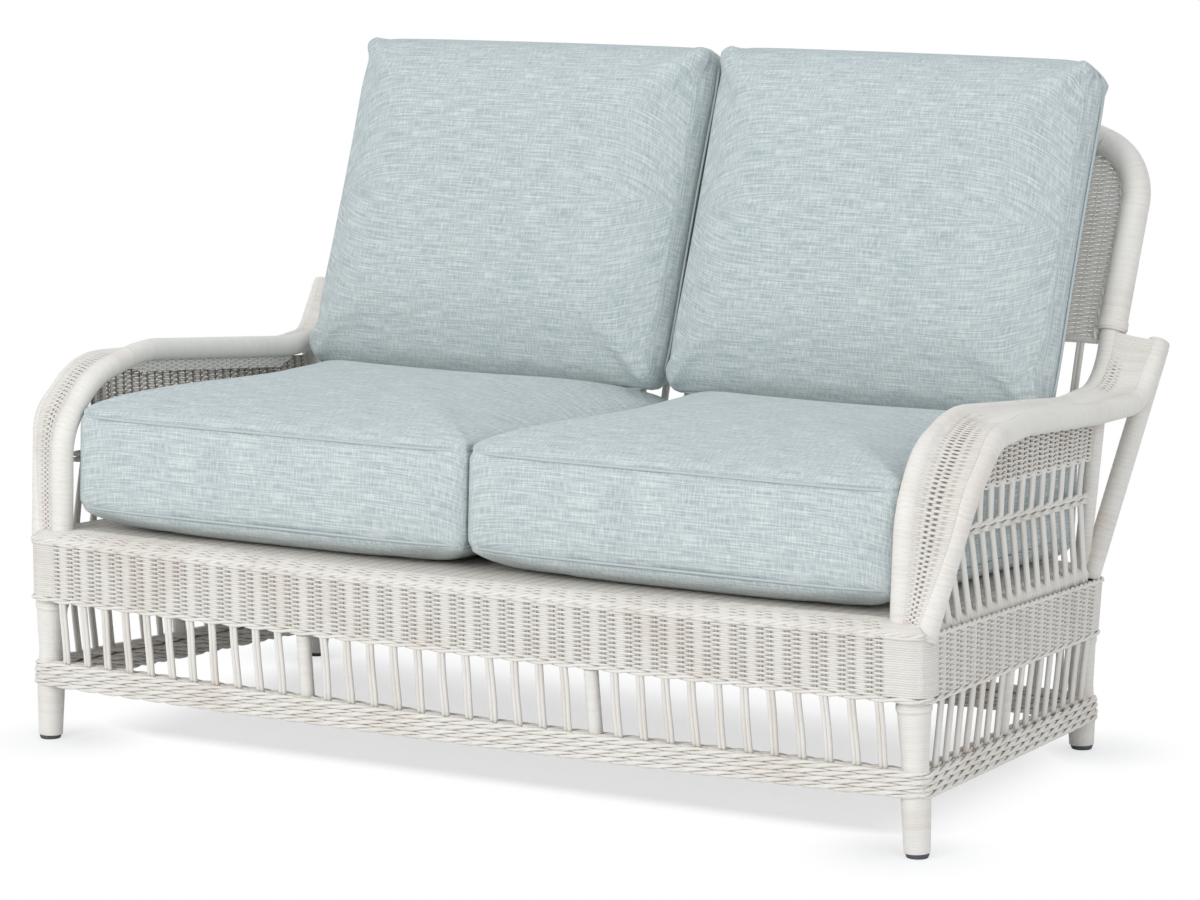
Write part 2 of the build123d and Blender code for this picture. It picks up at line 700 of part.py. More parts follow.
everything = Compound(children=[piece for pieces in nodes.values() for piece in pieces])
box = everything.bounding_box()
shift = Location((0, -(box.min.Y + box.max.Y) / 2, -box.min.Z))
for name, pieces in nodes.items():
    solids = [solid for piece in pieces for solid in piece.solids()]
    export_step(Compound(children=[solid.moved(shift) for solid in solids]), "parts/" + name + ".step")
print("size", round(box.size.X, 1), round(box.size.Y, 1), round(box.size.Z, 1))
print("shift", shift.position)
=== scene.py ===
"""Patio loveseat: wrapped poles, woven panels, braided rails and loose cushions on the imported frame."""

import logging
import math
from dataclasses import dataclass
from enum import Enum
from typing import Callable, Dict, List, Optional, Sequence, Tuple, Union

import bpy
import numpy as np
from mathutils import Matrix, Vector


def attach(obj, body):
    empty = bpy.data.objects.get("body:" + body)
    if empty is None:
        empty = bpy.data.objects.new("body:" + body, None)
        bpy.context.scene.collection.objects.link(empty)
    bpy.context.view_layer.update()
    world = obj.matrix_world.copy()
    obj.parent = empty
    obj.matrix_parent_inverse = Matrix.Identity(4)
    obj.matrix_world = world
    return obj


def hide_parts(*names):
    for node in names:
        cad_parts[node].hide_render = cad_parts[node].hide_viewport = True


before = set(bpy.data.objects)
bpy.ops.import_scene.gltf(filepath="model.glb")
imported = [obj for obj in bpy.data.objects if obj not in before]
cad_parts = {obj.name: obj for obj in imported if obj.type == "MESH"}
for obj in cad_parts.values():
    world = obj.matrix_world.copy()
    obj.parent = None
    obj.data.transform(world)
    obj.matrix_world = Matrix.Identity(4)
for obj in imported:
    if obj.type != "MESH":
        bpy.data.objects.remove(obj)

Array = np.ndarray
Mesh = bpy.types.Mesh
Material = bpy.types.Material
Object = bpy.types.Object
World = bpy.types.World
Numbers = Union[float, Array]
Pair = Tuple[float, float]
Point = Tuple[float, float, float]
Points = Tuple[Point, ...]
Row = Tuple[float, ...]
Colour = Tuple[float, float, float, float]
Surface = Callable[[Array, Array], Tuple[Array, Array]]
Swing = Callable[[Array, Array], Array]
log = logging.getLogger("loveseat")

ACROSS: Point = (1.0, 0.0, 0.0)
FORWARD: Point = (0.0, -1.0, 0.0)
BACKWARD: Point = (0.0, 1.0, 0.0)
UP: Point = (0.0, 0.0, 1.0)
MIRROR = np.array([-1.0, 1.0, 1.0])
WHITE: Colour = (1.0, 1.0, 1.0, 1.0)


class Side(Enum):
    """The two halves of the seat; the value is the sign of X."""

    RIGHT = 1
    LEFT = -1


class Slot(Enum):
    """Material slots of the record that new pieces use."""

    WICKER = "wicker"
    CUSHION = "cushion"


class Part(Enum):
    """Stretches of an outline round the four legs, each from corner middle to corner middle."""

    FRONT = "front"
    REAR = "rear"
    SIDE = "side"


def unit(vectors: Array) -> Array:
    """Vectors made one long."""
    return vectors / np.maximum(np.linalg.norm(vectors, axis=-1, keepdims=True), 1e-12)


def held(values: Array) -> Array:
    """Values held between 0 and 1."""
    return np.clip(values, 0.0, 1.0)


def read_off(places: Array, grid: Array, table: Array) -> Array:
    """Rows of a table at places on its grid, interpolated column by column."""
    return np.stack([np.interp(places, grid, table[:, axis]) for axis in range(3)], axis=-1)


def resampled(path: Array, count: int) -> Array:
    """A path with its points spaced evenly.

    Args:
        path: Points along the path, one row each.
        count: How many points to return.

    Returns:
        The new points.
    """
    steps = np.linalg.norm(np.diff(path, axis=0), axis=1)
    run = np.concatenate([[0.0], np.cumsum(steps)])
    return read_off(np.linspace(0.0, run[-1], count), run, path)


def path_length(path: Array) -> float:
    """Length of a path."""
    return float(np.linalg.norm(np.diff(path, axis=0), axis=1).sum())


def rounded_path(points: Sequence[Point], bends: Sequence[float], step: float = 0.001) -> Array:
    """Straight runs joined by arcs.

    Args:
        points: Corners of the path.
        bends: Radius of the arc at each inner corner.
        step: Distance between the points returned.

    Returns:
        Evenly spaced points along the path.
    """
    corners = [np.array(point, float) for point in points]
    arc_points = 24
    out: List[Array] = [corners[0]]
    for before, corner, after, radius in zip(corners, corners[1:], corners[2:], bends):
        back, ahead = unit(before - corner), unit(after - corner)
        half = math.acos(float(np.clip(back @ ahead, -1.0, 1.0))) / 2
        reach = radius / math.tan(half)
        centre = corner + unit(back + ahead) * radius / math.sin(half)
        start, end = corner + back * reach - centre, corner + ahead * reach - centre
        sweep = math.pi - 2 * half
        for share in np.linspace(0.0, 1.0, arc_points):
            ratio = np.sin([(1 - share) * sweep, share * sweep]) / math.sin(sweep)
            out.append(centre + start * ratio[0] + end * ratio[1])
    out.append(corners[-1])
    path = np.array(out)
    return resampled(path, max(2, int(round(path_length(path) / step)) + 1))


def linked(name: str, data: bpy.types.ID) -> Object:
    """Put a new object into the scene.

    Args:
        name: Its name.
        data: Its mesh, camera or lamp.

    Returns:
        The object.
    """
    piece = bpy.data.objects.new(name, data)
    bpy.context.scene.collection.objects.link(piece)
    return piece


def read(items: bpy.types.bpy_prop_collection, field: str, width: int = 3, kind: type = float) -> Array:
    """A property of every vertex, corner, edge or face of a mesh.

    Args:
        items: The vertices, corners, edges or faces.
        field: Name of the property.
        width: How many numbers each has.
        kind: Kind of the numbers.

    Returns:
        One row for each, or one number where the width is 1.
    """
    numbers = np.zeros(len(items) * width, kind)
    items.foreach_get(field, numbers)
    return numbers.reshape(-1, width) if width > 1 else numbers


@dataclass(frozen=True)
class Layout:
    """Plan and heights of the seat in metres, Y being measured from the line through the front feet.

    A pair holds a value at the front legs and the same value at the rear legs.
    """

    front_half: float = 0.690
    rear_half: float = 0.652
    depth: float = 0.663
    lean: float = 0.011 / 0.288
    front_bow: float = 0.025
    origin_shift: float = -0.425466
    rail_bottoms: Pair = (0.080, 0.042)
    apron_bottoms: Pair = (0.206, 0.168)
    apron_tops: Pair = (0.298, 0.249)
    band_feet: Pair = (0.403, 0.359)
    fill_feet: Pair = (0.462, 0.426)
    side_top_halves: Pair = (0.676, 0.664)
    side_top_height: float = 0.500
    lap: float = 0.16
    corner_points: int = 9
    bow_points: int = 161

    def along(self, ends: Pair, y: Array) -> Array:
        """Value at a depth of something that runs straight from the front legs to the rear legs."""
        return ends[0] + (ends[1] - ends[0]) * y / self.depth

    def leg_half(self, y: Array, z: Array) -> Array:
        """Half width between the leg lines at a depth and height."""
        return self.along((self.front_half, self.rear_half), y) - self.lean * z

    def bow(self, x: Array) -> Array:
        """Forward swell of the front."""
        return self.front_bow * (1 - (x / self.front_half) ** 2)

    def side_half(self, y: Array, z: Array) -> Array:
        """Half width of the surface that rises from the side apron to the arm.

        Args:
            y: Depth behind the front feet.
            z: Height.

        Returns:
            Distance from the middle of the seat.
        """
        foot_height = self.along(self.apron_tops, y)
        foot = self.leg_half(y, foot_height)
        head = self.along(self.side_top_halves, y)
        return foot + (head - foot) * (z - foot_height) / (self.side_top_height - foot_height)

    def outline(self, part: Part, outset: float, heights: Pair, flare: float = 0.0) -> Array:
        """One stretch of the outline round the legs, walked with the seat on the left.

        Args:
            part: Which stretch.
            outset: Distance out from the leg axes.
            heights: Heights at the front legs and at the rear legs.
            flare: Extra set-back at the rear.

        Returns:
            Points of the stretch.
        """
        front_x = float(self.leg_half(0.0, heights[0]))
        rear_x = float(self.leg_half(self.depth, heights[1]))
        rear_y = self.depth + flare
        lean = math.atan2(front_x - rear_x, rear_y)
        swing = (front_x ** 2 + self.front_bow ** 2) / (2 * self.front_bow)
        tip = math.asin(front_x / swing)

        def corner(x: float, y: float, start: float, end: float) -> Array:
            """Points round one corner, between two angles."""
            angles = np.linspace(start, end, self.corner_points)
            return np.stack([x + outset * np.cos(angles), y + outset * np.sin(angles)], axis=1)

        quarter, lap = math.pi / 4, self.lap
        if part is Part.FRONT:
            turn = np.linspace(-tip, tip, self.bow_points)
            reach = swing + outset
            arc = np.stack([reach * np.sin(turn), swing - self.front_bow - reach * np.cos(turn)], axis=1)
            flat = np.concatenate([corner(-front_x, 0.0, -3 * quarter - lap, -2 * quarter - tip)[:-1], arc,
                                   corner(front_x, 0.0, -2 * quarter + tip, -quarter + lap)[1:]])
        elif part is Part.SIDE:
            flat = np.concatenate([corner(front_x, 0.0, -quarter - lap, lean),
                                   corner(rear_x, rear_y, lean, quarter + lap)])
        else:
            flat = np.concatenate([corner(rear_x, rear_y, quarter - lap, 2 * quarter),
                                   corner(-rear_x, rear_y, 2 * quarter, 3 * quarter + lap)])
        return np.concatenate([flat, self.along(heights, flat[:, 1])[:, None]], axis=1)


LAYOUT = Layout()


class Field:
    """A value that flows through a shader, with ordinary arithmetic."""

    def __init__(self, shader: "Shader", socket: bpy.types.NodeSocket) -> None:
        """Wrap an output socket of a shader."""
        self.shader = shader
        self.socket = socket

    def __add__(self, other: "Value") -> "Field":
        """Sum."""
        return self.shader.math("ADD", self, other)

    def __radd__(self, other: "Value") -> "Field":
        """Sum with a number on the left."""
        return self.shader.math("ADD", other, self)

    def __sub__(self, other: "Value") -> "Field":
        """Difference."""
        return self.shader.math("SUBTRACT", self, other)

    def __rsub__(self, other: "Value") -> "Field":
        """Difference with a number on the left."""
        return self.shader.math("SUBTRACT", other, self)

    def __mul__(self, other: "Value") -> "Field":
        """Product."""
        return self.shader.math("MULTIPLY", self, other)

    def __rmul__(self, other: "Value") -> "Field":
        """Product with a number on the left."""
        return self.shader.math("MULTIPLY", other, self)

    def sine(self) -> "Field":
        """Sine of the value in radians."""
        return self.shader.math("SINE", self)

    def size(self) -> "Field":
        """The value without its sign."""
        return self.shader.math("ABSOLUTE", self)

    def ramp(self, low: float, high: float) -> "Field":
        """Smooth step from 0 at low to 1 at high."""
        return self.shader.field("ShaderNodeMapRange", "Result", {"interpolation_type": "SMOOTHSTEP"},
                                 {"Value": self, "From Min": low, "From Max": high})


Value = Union[float, Field]
Settings = Optional[Dict[str, object]]
Inputs = Optional[Dict[Union[str, int], object]]


class Shader:
    """The nodes of a material, or of the world, while they are put together."""

    def __init__(self, name: str, world: Optional[World] = None) -> None:
        """Start a new material, or the world, without nodes.

        Args:
            name: Name of the material.
            world: The world, where its nodes are meant.
        """
        self.owner = world or bpy.data.materials.new(name)
        self.owner.use_nodes = True
        self.owner.node_tree.nodes.clear()

    def node(self, kind: str, settings: Settings = None, inputs: Inputs = None) -> bpy.types.Node:
        """Add a node.

        Args:
            kind: Blender's type name of the node.
            settings: Properties to set on it.
            inputs: Numbers, colours or fields for its input sockets.

        Returns:
            The node.
        """
        tree = self.owner.node_tree
        node = tree.nodes.new(kind)
        for name, value in (settings or {}).items():
            setattr(node, name, value)
        for name, value in (inputs or {}).items():
            if isinstance(value, Field):
                tree.links.new(value.socket, node.inputs[name])
            else:
                node.inputs[name].default_value = value
        return node

    def field(self, kind: str, output: Union[str, int], settings: Settings = None,
              inputs: Inputs = None) -> Field:
        """Add a node and take one of its outputs."""
        return Field(self, self.node(kind, settings, inputs).outputs[output])

    def math(self, operation: str, *values: Value) -> Field:
        """Result of a math operation."""
        return self.field("ShaderNodeMath", 0, {"operation": operation}, dict(enumerate(values)))

    def place(self) -> Field:
        """Position on the piece, in metres."""
        return self.field("ShaderNodeTexCoord", "Object")

    def stored(self, name: str, output: str) -> Field:
        """A value that is stored on the mesh."""
        return self.field("ShaderNodeAttribute", output, {"attribute_name": name})

    def stretch(self, vector: Field, sizes: Point) -> Field:
        """A vector multiplied axis by axis."""
        return self.field("ShaderNodeVectorMath", "Vector", {"operation": "MULTIPLY"}, {0: vector, 1: sizes})

    def axes(self, vector: Field) -> List[Field]:
        """The three numbers of a vector."""
        node = self.node("ShaderNodeSeparateXYZ", None, {"Vector": vector})
        return [Field(self, node.outputs[axis]) for axis in "XYZ"]

    def noise(self, vector: Field, scale: float, detail: float = 2.0, roughness: float = 0.5) -> Field:
        """Noise between 0 and 1 over a vector."""
        return self.field("ShaderNodeTexNoise", "Fac", None,
                          {"Vector": vector, "Scale": scale, "Detail": detail, "Roughness": roughness})

    def strand(self) -> List[Field]:
        """Painted shade of the crevices and tone of the strand, as stored on the mesh."""
        node = self.node("ShaderNodeSeparateColor", None, {"Color": self.stored("strand", "Color")})
        return [Field(self, node.outputs[name]) for name in ("Red", "Green")]

    def mix(self, share: Value, first: Union[Colour, Field], second: Union[Colour, Field]) -> Field:
        """Colour between two colours."""
        return self.field("ShaderNodeMix", 2, {"data_type": "RGBA"}, {0: share, 6: first, 7: second})

    def bump(self, height: Field, distance: float, strength: float = 1.0) -> Field:
        """Normal that follows a height."""
        return self.field("ShaderNodeBump", "Normal", None,
                          {"Strength": strength, "Distance": distance, "Height": height})

    def ray(self, *kinds: str) -> List[Field]:
        """Whether the ray that looks is of each of the kinds named."""
        node = self.node("ShaderNodeLightPath")
        return [Field(self, node.outputs[f"Is {kind} Ray"]) for kind in kinds]

    def principled(self, inputs: Inputs) -> Field:
        """A principled surface."""
        return self.field("ShaderNodeBsdfPrincipled", "BSDF", None, inputs)

    def close(self, surface: Field) -> Union[Material, World]:
        """Join the surface to the output, and return the finished material or world."""
        self.node(f"ShaderNodeOutput{type(self.owner).__name__}", None, {"Surface": surface})
        return self.owner


def srgb(red: int, green: int, blue: int) -> Colour:
    """Linear colour of a screen colour.

    Args:
        red: Red from 0 to 255.
        green: Green from 0 to 255.
        blue: Blue from 0 to 255.

    Returns:
        The colour with full opacity.
    """
    levels = [value / 255 for value in (red, green, blue)]
    linear = [v / 12.92 if v <= 0.04045 else ((v + 0.055) / 1.055) ** 2.4 for v in levels]
    return linear[0], linear[1], linear[2], 1.0


@dataclass(frozen=True)
class WickerFinish:
    """Off-white synthetic reed, with warm brown painted shade in its crevices."""

    body: Colour = srgb(232, 228, 221)
    warm: Colour = srgb(220, 211, 201)
    # Colour of the painted shade in crevices, grooves and gaps.
    crevice: Colour = srgb(130, 112, 100)
    fibre_scale: float = 700.0
    fibre_grain: Pair = (3.0, 0.6)
    fibre_span: Pair = (0.4, 0.7)
    fibre_share: float = 0.3
    fibre_relief: float = 0.00025
    cloud_scale: float = 9.0
    cloud_grain: Pair = (3.0, 0.55)
    cloud_span: Pair = (0.42, 0.68)
    cloud_share: float = 0.4
    tone_share: float = 0.35
    pale_start: float = 0.15
    roughness: float = 0.46
    roughness_spread: float = 0.2
    specular: float = 0.35
    # Painted shade in the grooves between turns of a wrapped pole, and in the gaps of a woven sheet.
    groove_width: float = 0.45
    groove_shade: float = 0.45
    groove_fibre: float = 0.2
    groove_relief: float = 0.0006
    gap_start: float = 0.55
    gap_shade: float = 0.8
    sheet_swing: float = 0.6
    sheet_relief: float = 0.0012

    def dressed(self, shader: Shader, shade: Field, ground: Field, fibre: Field,
                normal: Field) -> Material:
        """Close a wicker material.

        Args:
            shader: The nodes of the material.
            shade: Painted shade of the crevices from 0 to 1.
            ground: Colour of the reed.
            fibre: Noise of its fibres.
            normal: Normal of its relief.

        Returns:
            The material.
        """
        return shader.close(shader.principled({
            "Base Color": shader.mix(shade, ground, self.crevice),
            "Roughness": fibre * self.roughness_spread + self.roughness,
            "Normal": normal, "Specular IOR Level": self.specular}))

    def build(self) -> Material:
        """The material for pieces whose strands are geometry.

        Returns:
            The material.
        """
        shader = Shader("wicker")
        place = shader.place()
        painted_shade, tone = shader.strand()
        fibre = shader.noise(place, self.fibre_scale, *self.fibre_grain)
        cloud = shader.noise(place, self.cloud_scale, *self.cloud_grain).ramp(*self.cloud_span)
        share = tone * self.tone_share + fibre * self.fibre_share + cloud * self.cloud_share - self.pale_start
        ground = shader.mix(share.ramp(0.0, 1.0), self.body, self.warm)
        # The shade stored on the mesh is painted: it mixes the reed towards the colour of the painted shade.
        return self.dressed(shader, painted_shade.ramp(0.0, 1.0), ground, fibre, shader.bump(fibre, self.fibre_relief))

    def build_wrapped(self, name: str, axis: int, pitch: float) -> Material:
        """The material for a plain pole whose wrapping is bump and painted shade in its grooves.

        Args:
            name: Name of the material.
            axis: Axis along which the pole runs.
            pitch: Width of one turn of the wrapping.

        Returns:
            The material.
        """
        shader = Shader(name)
        place = shader.place()
        turn = (shader.axes(place)[axis] * (math.pi / pitch)).sine().size()
        fibre = shader.noise(place, self.fibre_scale, *self.fibre_grain)
        # Painted shade in the grooves between turns.
        groove = 1.0 - turn.ramp(0.0, self.groove_width)
        ground = shader.mix(fibre.ramp(*self.fibre_span), self.body, self.warm)
        normal = shader.bump(turn + fibre * self.groove_fibre, self.groove_relief)
        return self.dressed(shader, groove * self.groove_shade, ground, fibre, normal)

    def build_sheet(self, name: str, row: float, stake: float) -> Material:
        """The material for a flat woven sheet whose weave is bump and painted shade in its gaps.

        Args:
            name: Name of the material.
            row: Width of a row.
            stake: Distance between stakes.

        Returns:
            The material.
        """
        shader = Shader(name)
        place = shader.place()
        across, along, _ = shader.axes(place)
        rows = (along * (math.pi / row)).sine()
        weave = rows * (across * (math.pi / stake)).sine()
        fibre = shader.noise(place, self.fibre_scale, *self.fibre_grain)
        # Painted shade in the gaps of the weave.
        gap = (weave * -1.0).ramp(self.gap_start, 1.0) * self.gap_shade
        ground = shader.mix(fibre.ramp(*self.fibre_span), self.body, self.warm)
        normal = shader.bump(rows.size() + weave * self.sheet_swing, self.sheet_relief)
        return self.dressed(shader, gap, ground, fibre, normal)


@dataclass(frozen=True)
class GlideFinish:
    """Dark grey moulded plastic of the feet."""

    body: Colour = srgb(78, 80, 84)
    worn: Colour = srgb(104, 105, 107)
    roughness: float = 0.5
    roughness_spread: float = 0.15
    grain_scale: float = 900.0
    grain_relief: float = 0.0001
    scuff_scale: float = 140.0
    scuff_span: Pair = (0.5, 0.75)
    scuff_low: float = 0.7
    scuff_all: float = 0.2
    worn_height: float = 0.007

    def build(self) -> Material:
        """The material, scuffed most at the floor.

        Returns:
            The material.
        """
        shader = Shader("glide_plastic")
        place = shader.place()
        grain = shader.noise(place, self.grain_scale, 3.0, 0.6)
        scuff = shader.noise(place, self.scuff_scale, 4.0, 0.7).ramp(*self.scuff_span)
        low = 1.0 - shader.axes(place)[2].ramp(0.0, self.worn_height)
        colour = shader.mix(scuff * (low * self.scuff_low + self.scuff_all), self.body, self.worn)
        return shader.close(shader.principled({
            "Base Color": colour, "Roughness": grain * self.roughness_spread + self.roughness,
            "Normal": shader.bump(grain, self.grain_relief)}))


@dataclass(frozen=True)
class Thread:
    """One set of threads of the cloth: where it turns pale and dark, and how much it counts."""

    pale_span: Pair
    dark_span: Pair
    pale_share: float
    dark_share: float
    height: float


@dataclass(frozen=True)
class FabricFinish:
    """Aqua-grey outdoor cloth with pale slubs across and a finer thread up and down."""

    ground: Colour = srgb(184, 193, 193)
    slub: Colour = srgb(216, 220, 218)
    shade: Colour = srgb(160, 172, 176)
    slub_length: float = 19.0
    cross_length: float = 2.8
    slub_scale: float = 480.0
    slubs: Thread = Thread((0.46, 0.64), (0.34, 0.5), 0.58, 0.52, 0.6)
    crosses: Thread = Thread((0.49, 0.64), (0.36, 0.51), 0.42, 0.42, 0.5)
    thread_roughness: float = 0.6
    cloud_scale: float = 9.0
    cloud_share: float = 0.25
    roughness: float = 0.85
    roughness_spread: float = 0.1
    relief: float = 0.0005
    relief_strength: float = 0.7
    specular: float = 0.2
    sheen: float = 0.1
    sheen_roughness: float = 0.5

    def build(self) -> Material:
        """The material, whose threads follow the coordinates stored on the mesh.

        Returns:
            The material.
        """
        shader = Shader("fabric")
        cloth = shader.stored("cloth", "Vector")
        long, fine = self.slub_length, self.slub_scale
        slub, cross = self.slubs, self.crosses
        slubs = shader.noise(shader.stretch(cloth, (long, fine, 1.0)), 1.0, 2.0, self.thread_roughness)
        crosses = shader.noise(shader.stretch(cloth, (fine, long * self.cross_length, 1.0)), 1.0, 2.0,
                               self.thread_roughness)
        pale = (slubs.ramp(*slub.pale_span) * slub.pale_share
                + crosses.ramp(*cross.pale_span) * cross.pale_share)
        dark = ((1.0 - slubs.ramp(*slub.dark_span)) * slub.dark_share
                + (1.0 - crosses.ramp(*cross.dark_span)) * cross.dark_share)
        cloud = (shader.noise(shader.place(), self.cloud_scale) - 0.5) * self.cloud_share
        colour = shader.mix(pale, shader.mix(dark + cloud, self.ground, self.shade), self.slub)
        height = slubs * slub.height + crosses * cross.height
        return shader.close(shader.principled({
            "Base Color": colour, "Roughness": slubs * self.roughness_spread + self.roughness,
            "Normal": shader.bump(height, self.relief, self.relief_strength),
            "Specular IOR Level": self.specular, "Sheen Weight": self.sheen,
            "Sheen Roughness": self.sheen_roughness}))


@dataclass(frozen=True)
class FloorFinish:
    """Pale studio floor."""

    body: Colour = srgb(244, 245, 246)
    roughness: float = 0.9
    roughness_spread: float = 0.05
    grain_scale: float = 3.0
    # Strength and bounds of the painted shadow shape under the seat and round the feet.
    shadow: float = 0.36
    front: Pair = (0.310, 0.375)
    rear: Pair = (0.08, 0.42)
    sides: Pair = (0.55, 0.72)
    foot: Pair = (0.665, 0.3315)
    feet_middle: float = 0.094
    foot_reach: float = 0.150

    def build(self) -> Material:
        """White to the camera away from the object; under it and round each foot a painted shadow shape lets
        a plain floor show, which takes the object's real shadow.

        Returns:
            The material.
        """
        shader = Shader("studio_floor")
        place = shader.place()
        x, y, _ = shader.axes(place)
        # Painted shadow: a soft box under the seat and a spot at each foot mix in the rendered floor, darker
        # than the white around it.
        under = ((1.0 - (y * -1.0).ramp(*self.front)) * (1.0 - y.ramp(*self.rear))
                 * (1.0 - x.size().ramp(*self.sides)))
        beside, ahead = x.size() - self.foot[0], (y + self.feet_middle).size() - self.foot[1]
        feet = 1.0 - shader.math("SQRT", beside * beside + ahead * ahead).ramp(0.0, self.foot_reach)
        painted_shadow_share = shader.math("MAXIMUM", under, feet) * self.shadow
        seen = shader.math("MAXIMUM", *shader.ray("Camera", "Transmission"))
        grain = shader.noise(place, self.grain_scale)
        floor = shader.principled({"Base Color": self.body, "Specular IOR Level": 0.0,
                                   "Roughness": grain * self.roughness_spread + self.roughness})
        white = shader.field("ShaderNodeEmission", 0, None, {"Color": WHITE, "Strength": 1.0})
        return shader.close(shader.field("ShaderNodeMixShader", 0, None,
                                         {0: (1.0 - painted_shadow_share) * seen, 1: floor, 2: white}))


class Shape:
    """The mesh of one piece while it is put together, in plan metres."""

    def __init__(self) -> None:
        """Start with nothing."""
        self.points: List[Array] = []
        self.faces: List[Array] = []
        self.shades: List[Array] = []
        self.count = 0

    def mirrored(self) -> "Shape":
        """The same shape on the other side of the seat.

        Returns:
            The new shape.
        """
        other = Shape()
        other.points = [points * MIRROR for points in self.points]
        other.faces = [faces[:, ::-1] for faces in self.faces]
        other.shades = self.shades
        return other

    def mesh(self, name: str) -> Mesh:
        """The shape as a mesh in the row frame.

        Args:
            name: Name of the mesh.

        Returns:
            The mesh, smooth, with the painted shade and tone of its strands stored.
        """
        points = np.concatenate(self.points) + np.array([0.0, LAYOUT.origin_shift, 0.0])
        faces = np.concatenate(self.faces)
        shades = np.concatenate(self.shades)
        mesh = bpy.data.meshes.new(name)
        mesh.vertices.add(len(points))
        mesh.vertices.foreach_set("co", points.astype(np.float32).ravel())
        mesh.loops.add(faces.size)
        mesh.loops.foreach_set("vertex_index", faces.astype(np.int32).ravel())
        mesh.polygons.add(len(faces))
        mesh.polygons.foreach_set("loop_start", np.arange(0, faces.size, 4, dtype=np.int32))
        mesh.polygons.foreach_set("use_smooth", np.ones(len(faces), bool))
        mesh.update(calc_edges=True)
        mesh.attributes.new("strand", "FLOAT_COLOR", "POINT")
        # Red holds the painted shade of each vertex, green its tone.
        colours = np.concatenate([shades, np.zeros((len(shades), 1)), np.ones((len(shades), 1))], axis=1)
        mesh.attributes["strand"].data.foreach_set("color", colours.astype(np.float32).ravel())
        return mesh

    def strands(self, paths: Array, normal: Union[Point, Array], wide: Numbers, thick: Numbers,
                sides: int = 6, painted_shade: Numbers = 0.0, tone: Numbers = 0.5) -> None:
        """Add tubes along paths.

        Args:
            paths: Centre lines, as many arrays of as many points.
            normal: Direction in which the thickness is measured, one for all or one per point.
            wide: Half width across the normal.
            thick: Half thickness along the normal.
            sides: Even number of sides of each tube.
            painted_shade: Painted shade, from 0 in the open to 1 deep in a hollow.
            tone: Tone of the strand from 0 to 1.
        """
        paths = np.asarray(paths, float)
        if paths.ndim == 2:
            paths = paths[None]
        amount, length = paths.shape[:2]

        def full(value: Numbers) -> Array:
            """A number, or numbers per path, point or vertex, spread over every vertex.

            Args:
                value: The number or numbers.

            Returns:
                A number for each vertex.
            """
            value = np.asarray(value, float)
            if value.ndim == 1:
                value = value[None, :, None] if len(value) == length and amount == 1 else value[:, None, None]
            elif value.ndim == 2:
                value = value[:, :, None]
            return np.broadcast_to(value, (amount, length, sides))

        ahead = unit(np.gradient(paths, axis=1))
        out = np.broadcast_to(np.asarray(normal, float), paths.shape)
        out = unit(out - (out * ahead).sum(axis=-1, keepdims=True) * ahead)
        aside = np.cross(ahead, out)
        angles = 2 * np.pi * (np.arange(sides) + 0.5) / sides
        ring = (aside[:, :, None] * (np.cos(angles) * full(wide))[..., None]
                + out[:, :, None] * (np.sin(angles) * full(thick))[..., None])
        points = (paths[:, :, None] + ring).reshape(-1, 3)
        index = np.arange(amount * length * sides).reshape(amount, length, sides)
        around = np.roll(index, -1, axis=2)
        skin = np.stack([index[:, :-1], index[:, 1:], around[:, 1:], around[:, :-1]], axis=-1).reshape(-1, 4)
        corners = np.array([[0, place, place + 1, place + 2] for place in range(1, sides - 1, 2)])
        near = index[:, 0][:, corners].reshape(-1, 4)
        far = index[:, -1][:, corners[:, ::-1]].reshape(-1, 4)
        self.points.append(points)
        self.faces.append(np.concatenate([skin, near, far]) + self.count)
        self.shades.append(np.stack([full(painted_shade).ravel(), full(tone).ravel()], axis=1))
        self.count += len(points)


@dataclass(frozen=True)
class Wrap:
    """Flat reed wound closely round a pole."""

    pitch: float = 0.0038
    ridge: float = 0.00030
    step: float = 0.00095
    sides: int = 20
    groove_pit: float = 0.34
    flatness: float = 5.0
    unevenness: float = 0.5
    seed: int = 5

    def cover(self, shape: Shape, path: Array, normal: Point, radius: Numbers) -> None:
        """Wind the reed round a pole.

        Args:
            shape: Where the wound pole is added.
            path: Centre line of the pole.
            normal: Direction across the pole from which turns are counted.
            radius: Radius of the pole, one for all or spaced evenly along it.
        """
        length = path_length(path)
        count = max(4, int(length / self.step))
        known = np.resize(np.asarray(radius, float), max(2, np.size(radius)))
        radii = np.interp(np.linspace(0, 1, count), np.linspace(0, 1, len(known)), known)
        angles = (np.arange(self.sides) + 0.5) / self.sides
        turns = np.linspace(0.0, length, count)[:, None] / self.pitch + angles[None, :]
        which = np.floor(turns).astype(int)
        table = np.random.default_rng(self.seed).random(which.max() + 3)
        swell = 1.0 - np.abs(2 * (turns % 1.0) - 1.0) ** self.flatness
        height = self.ridge * (swell - 1.0) + (table[which] - 0.5) * self.ridge * self.unevenness
        # Painted shade, deepest in the grooves between turns.
        painted_shade = self.groove_pit * (1.0 - swell) ** 1.5
        size = (radii[:, None] + height)[None]
        shape.strands(resampled(path, count), normal, size, size, self.sides, painted_shade[None], table[which][None])


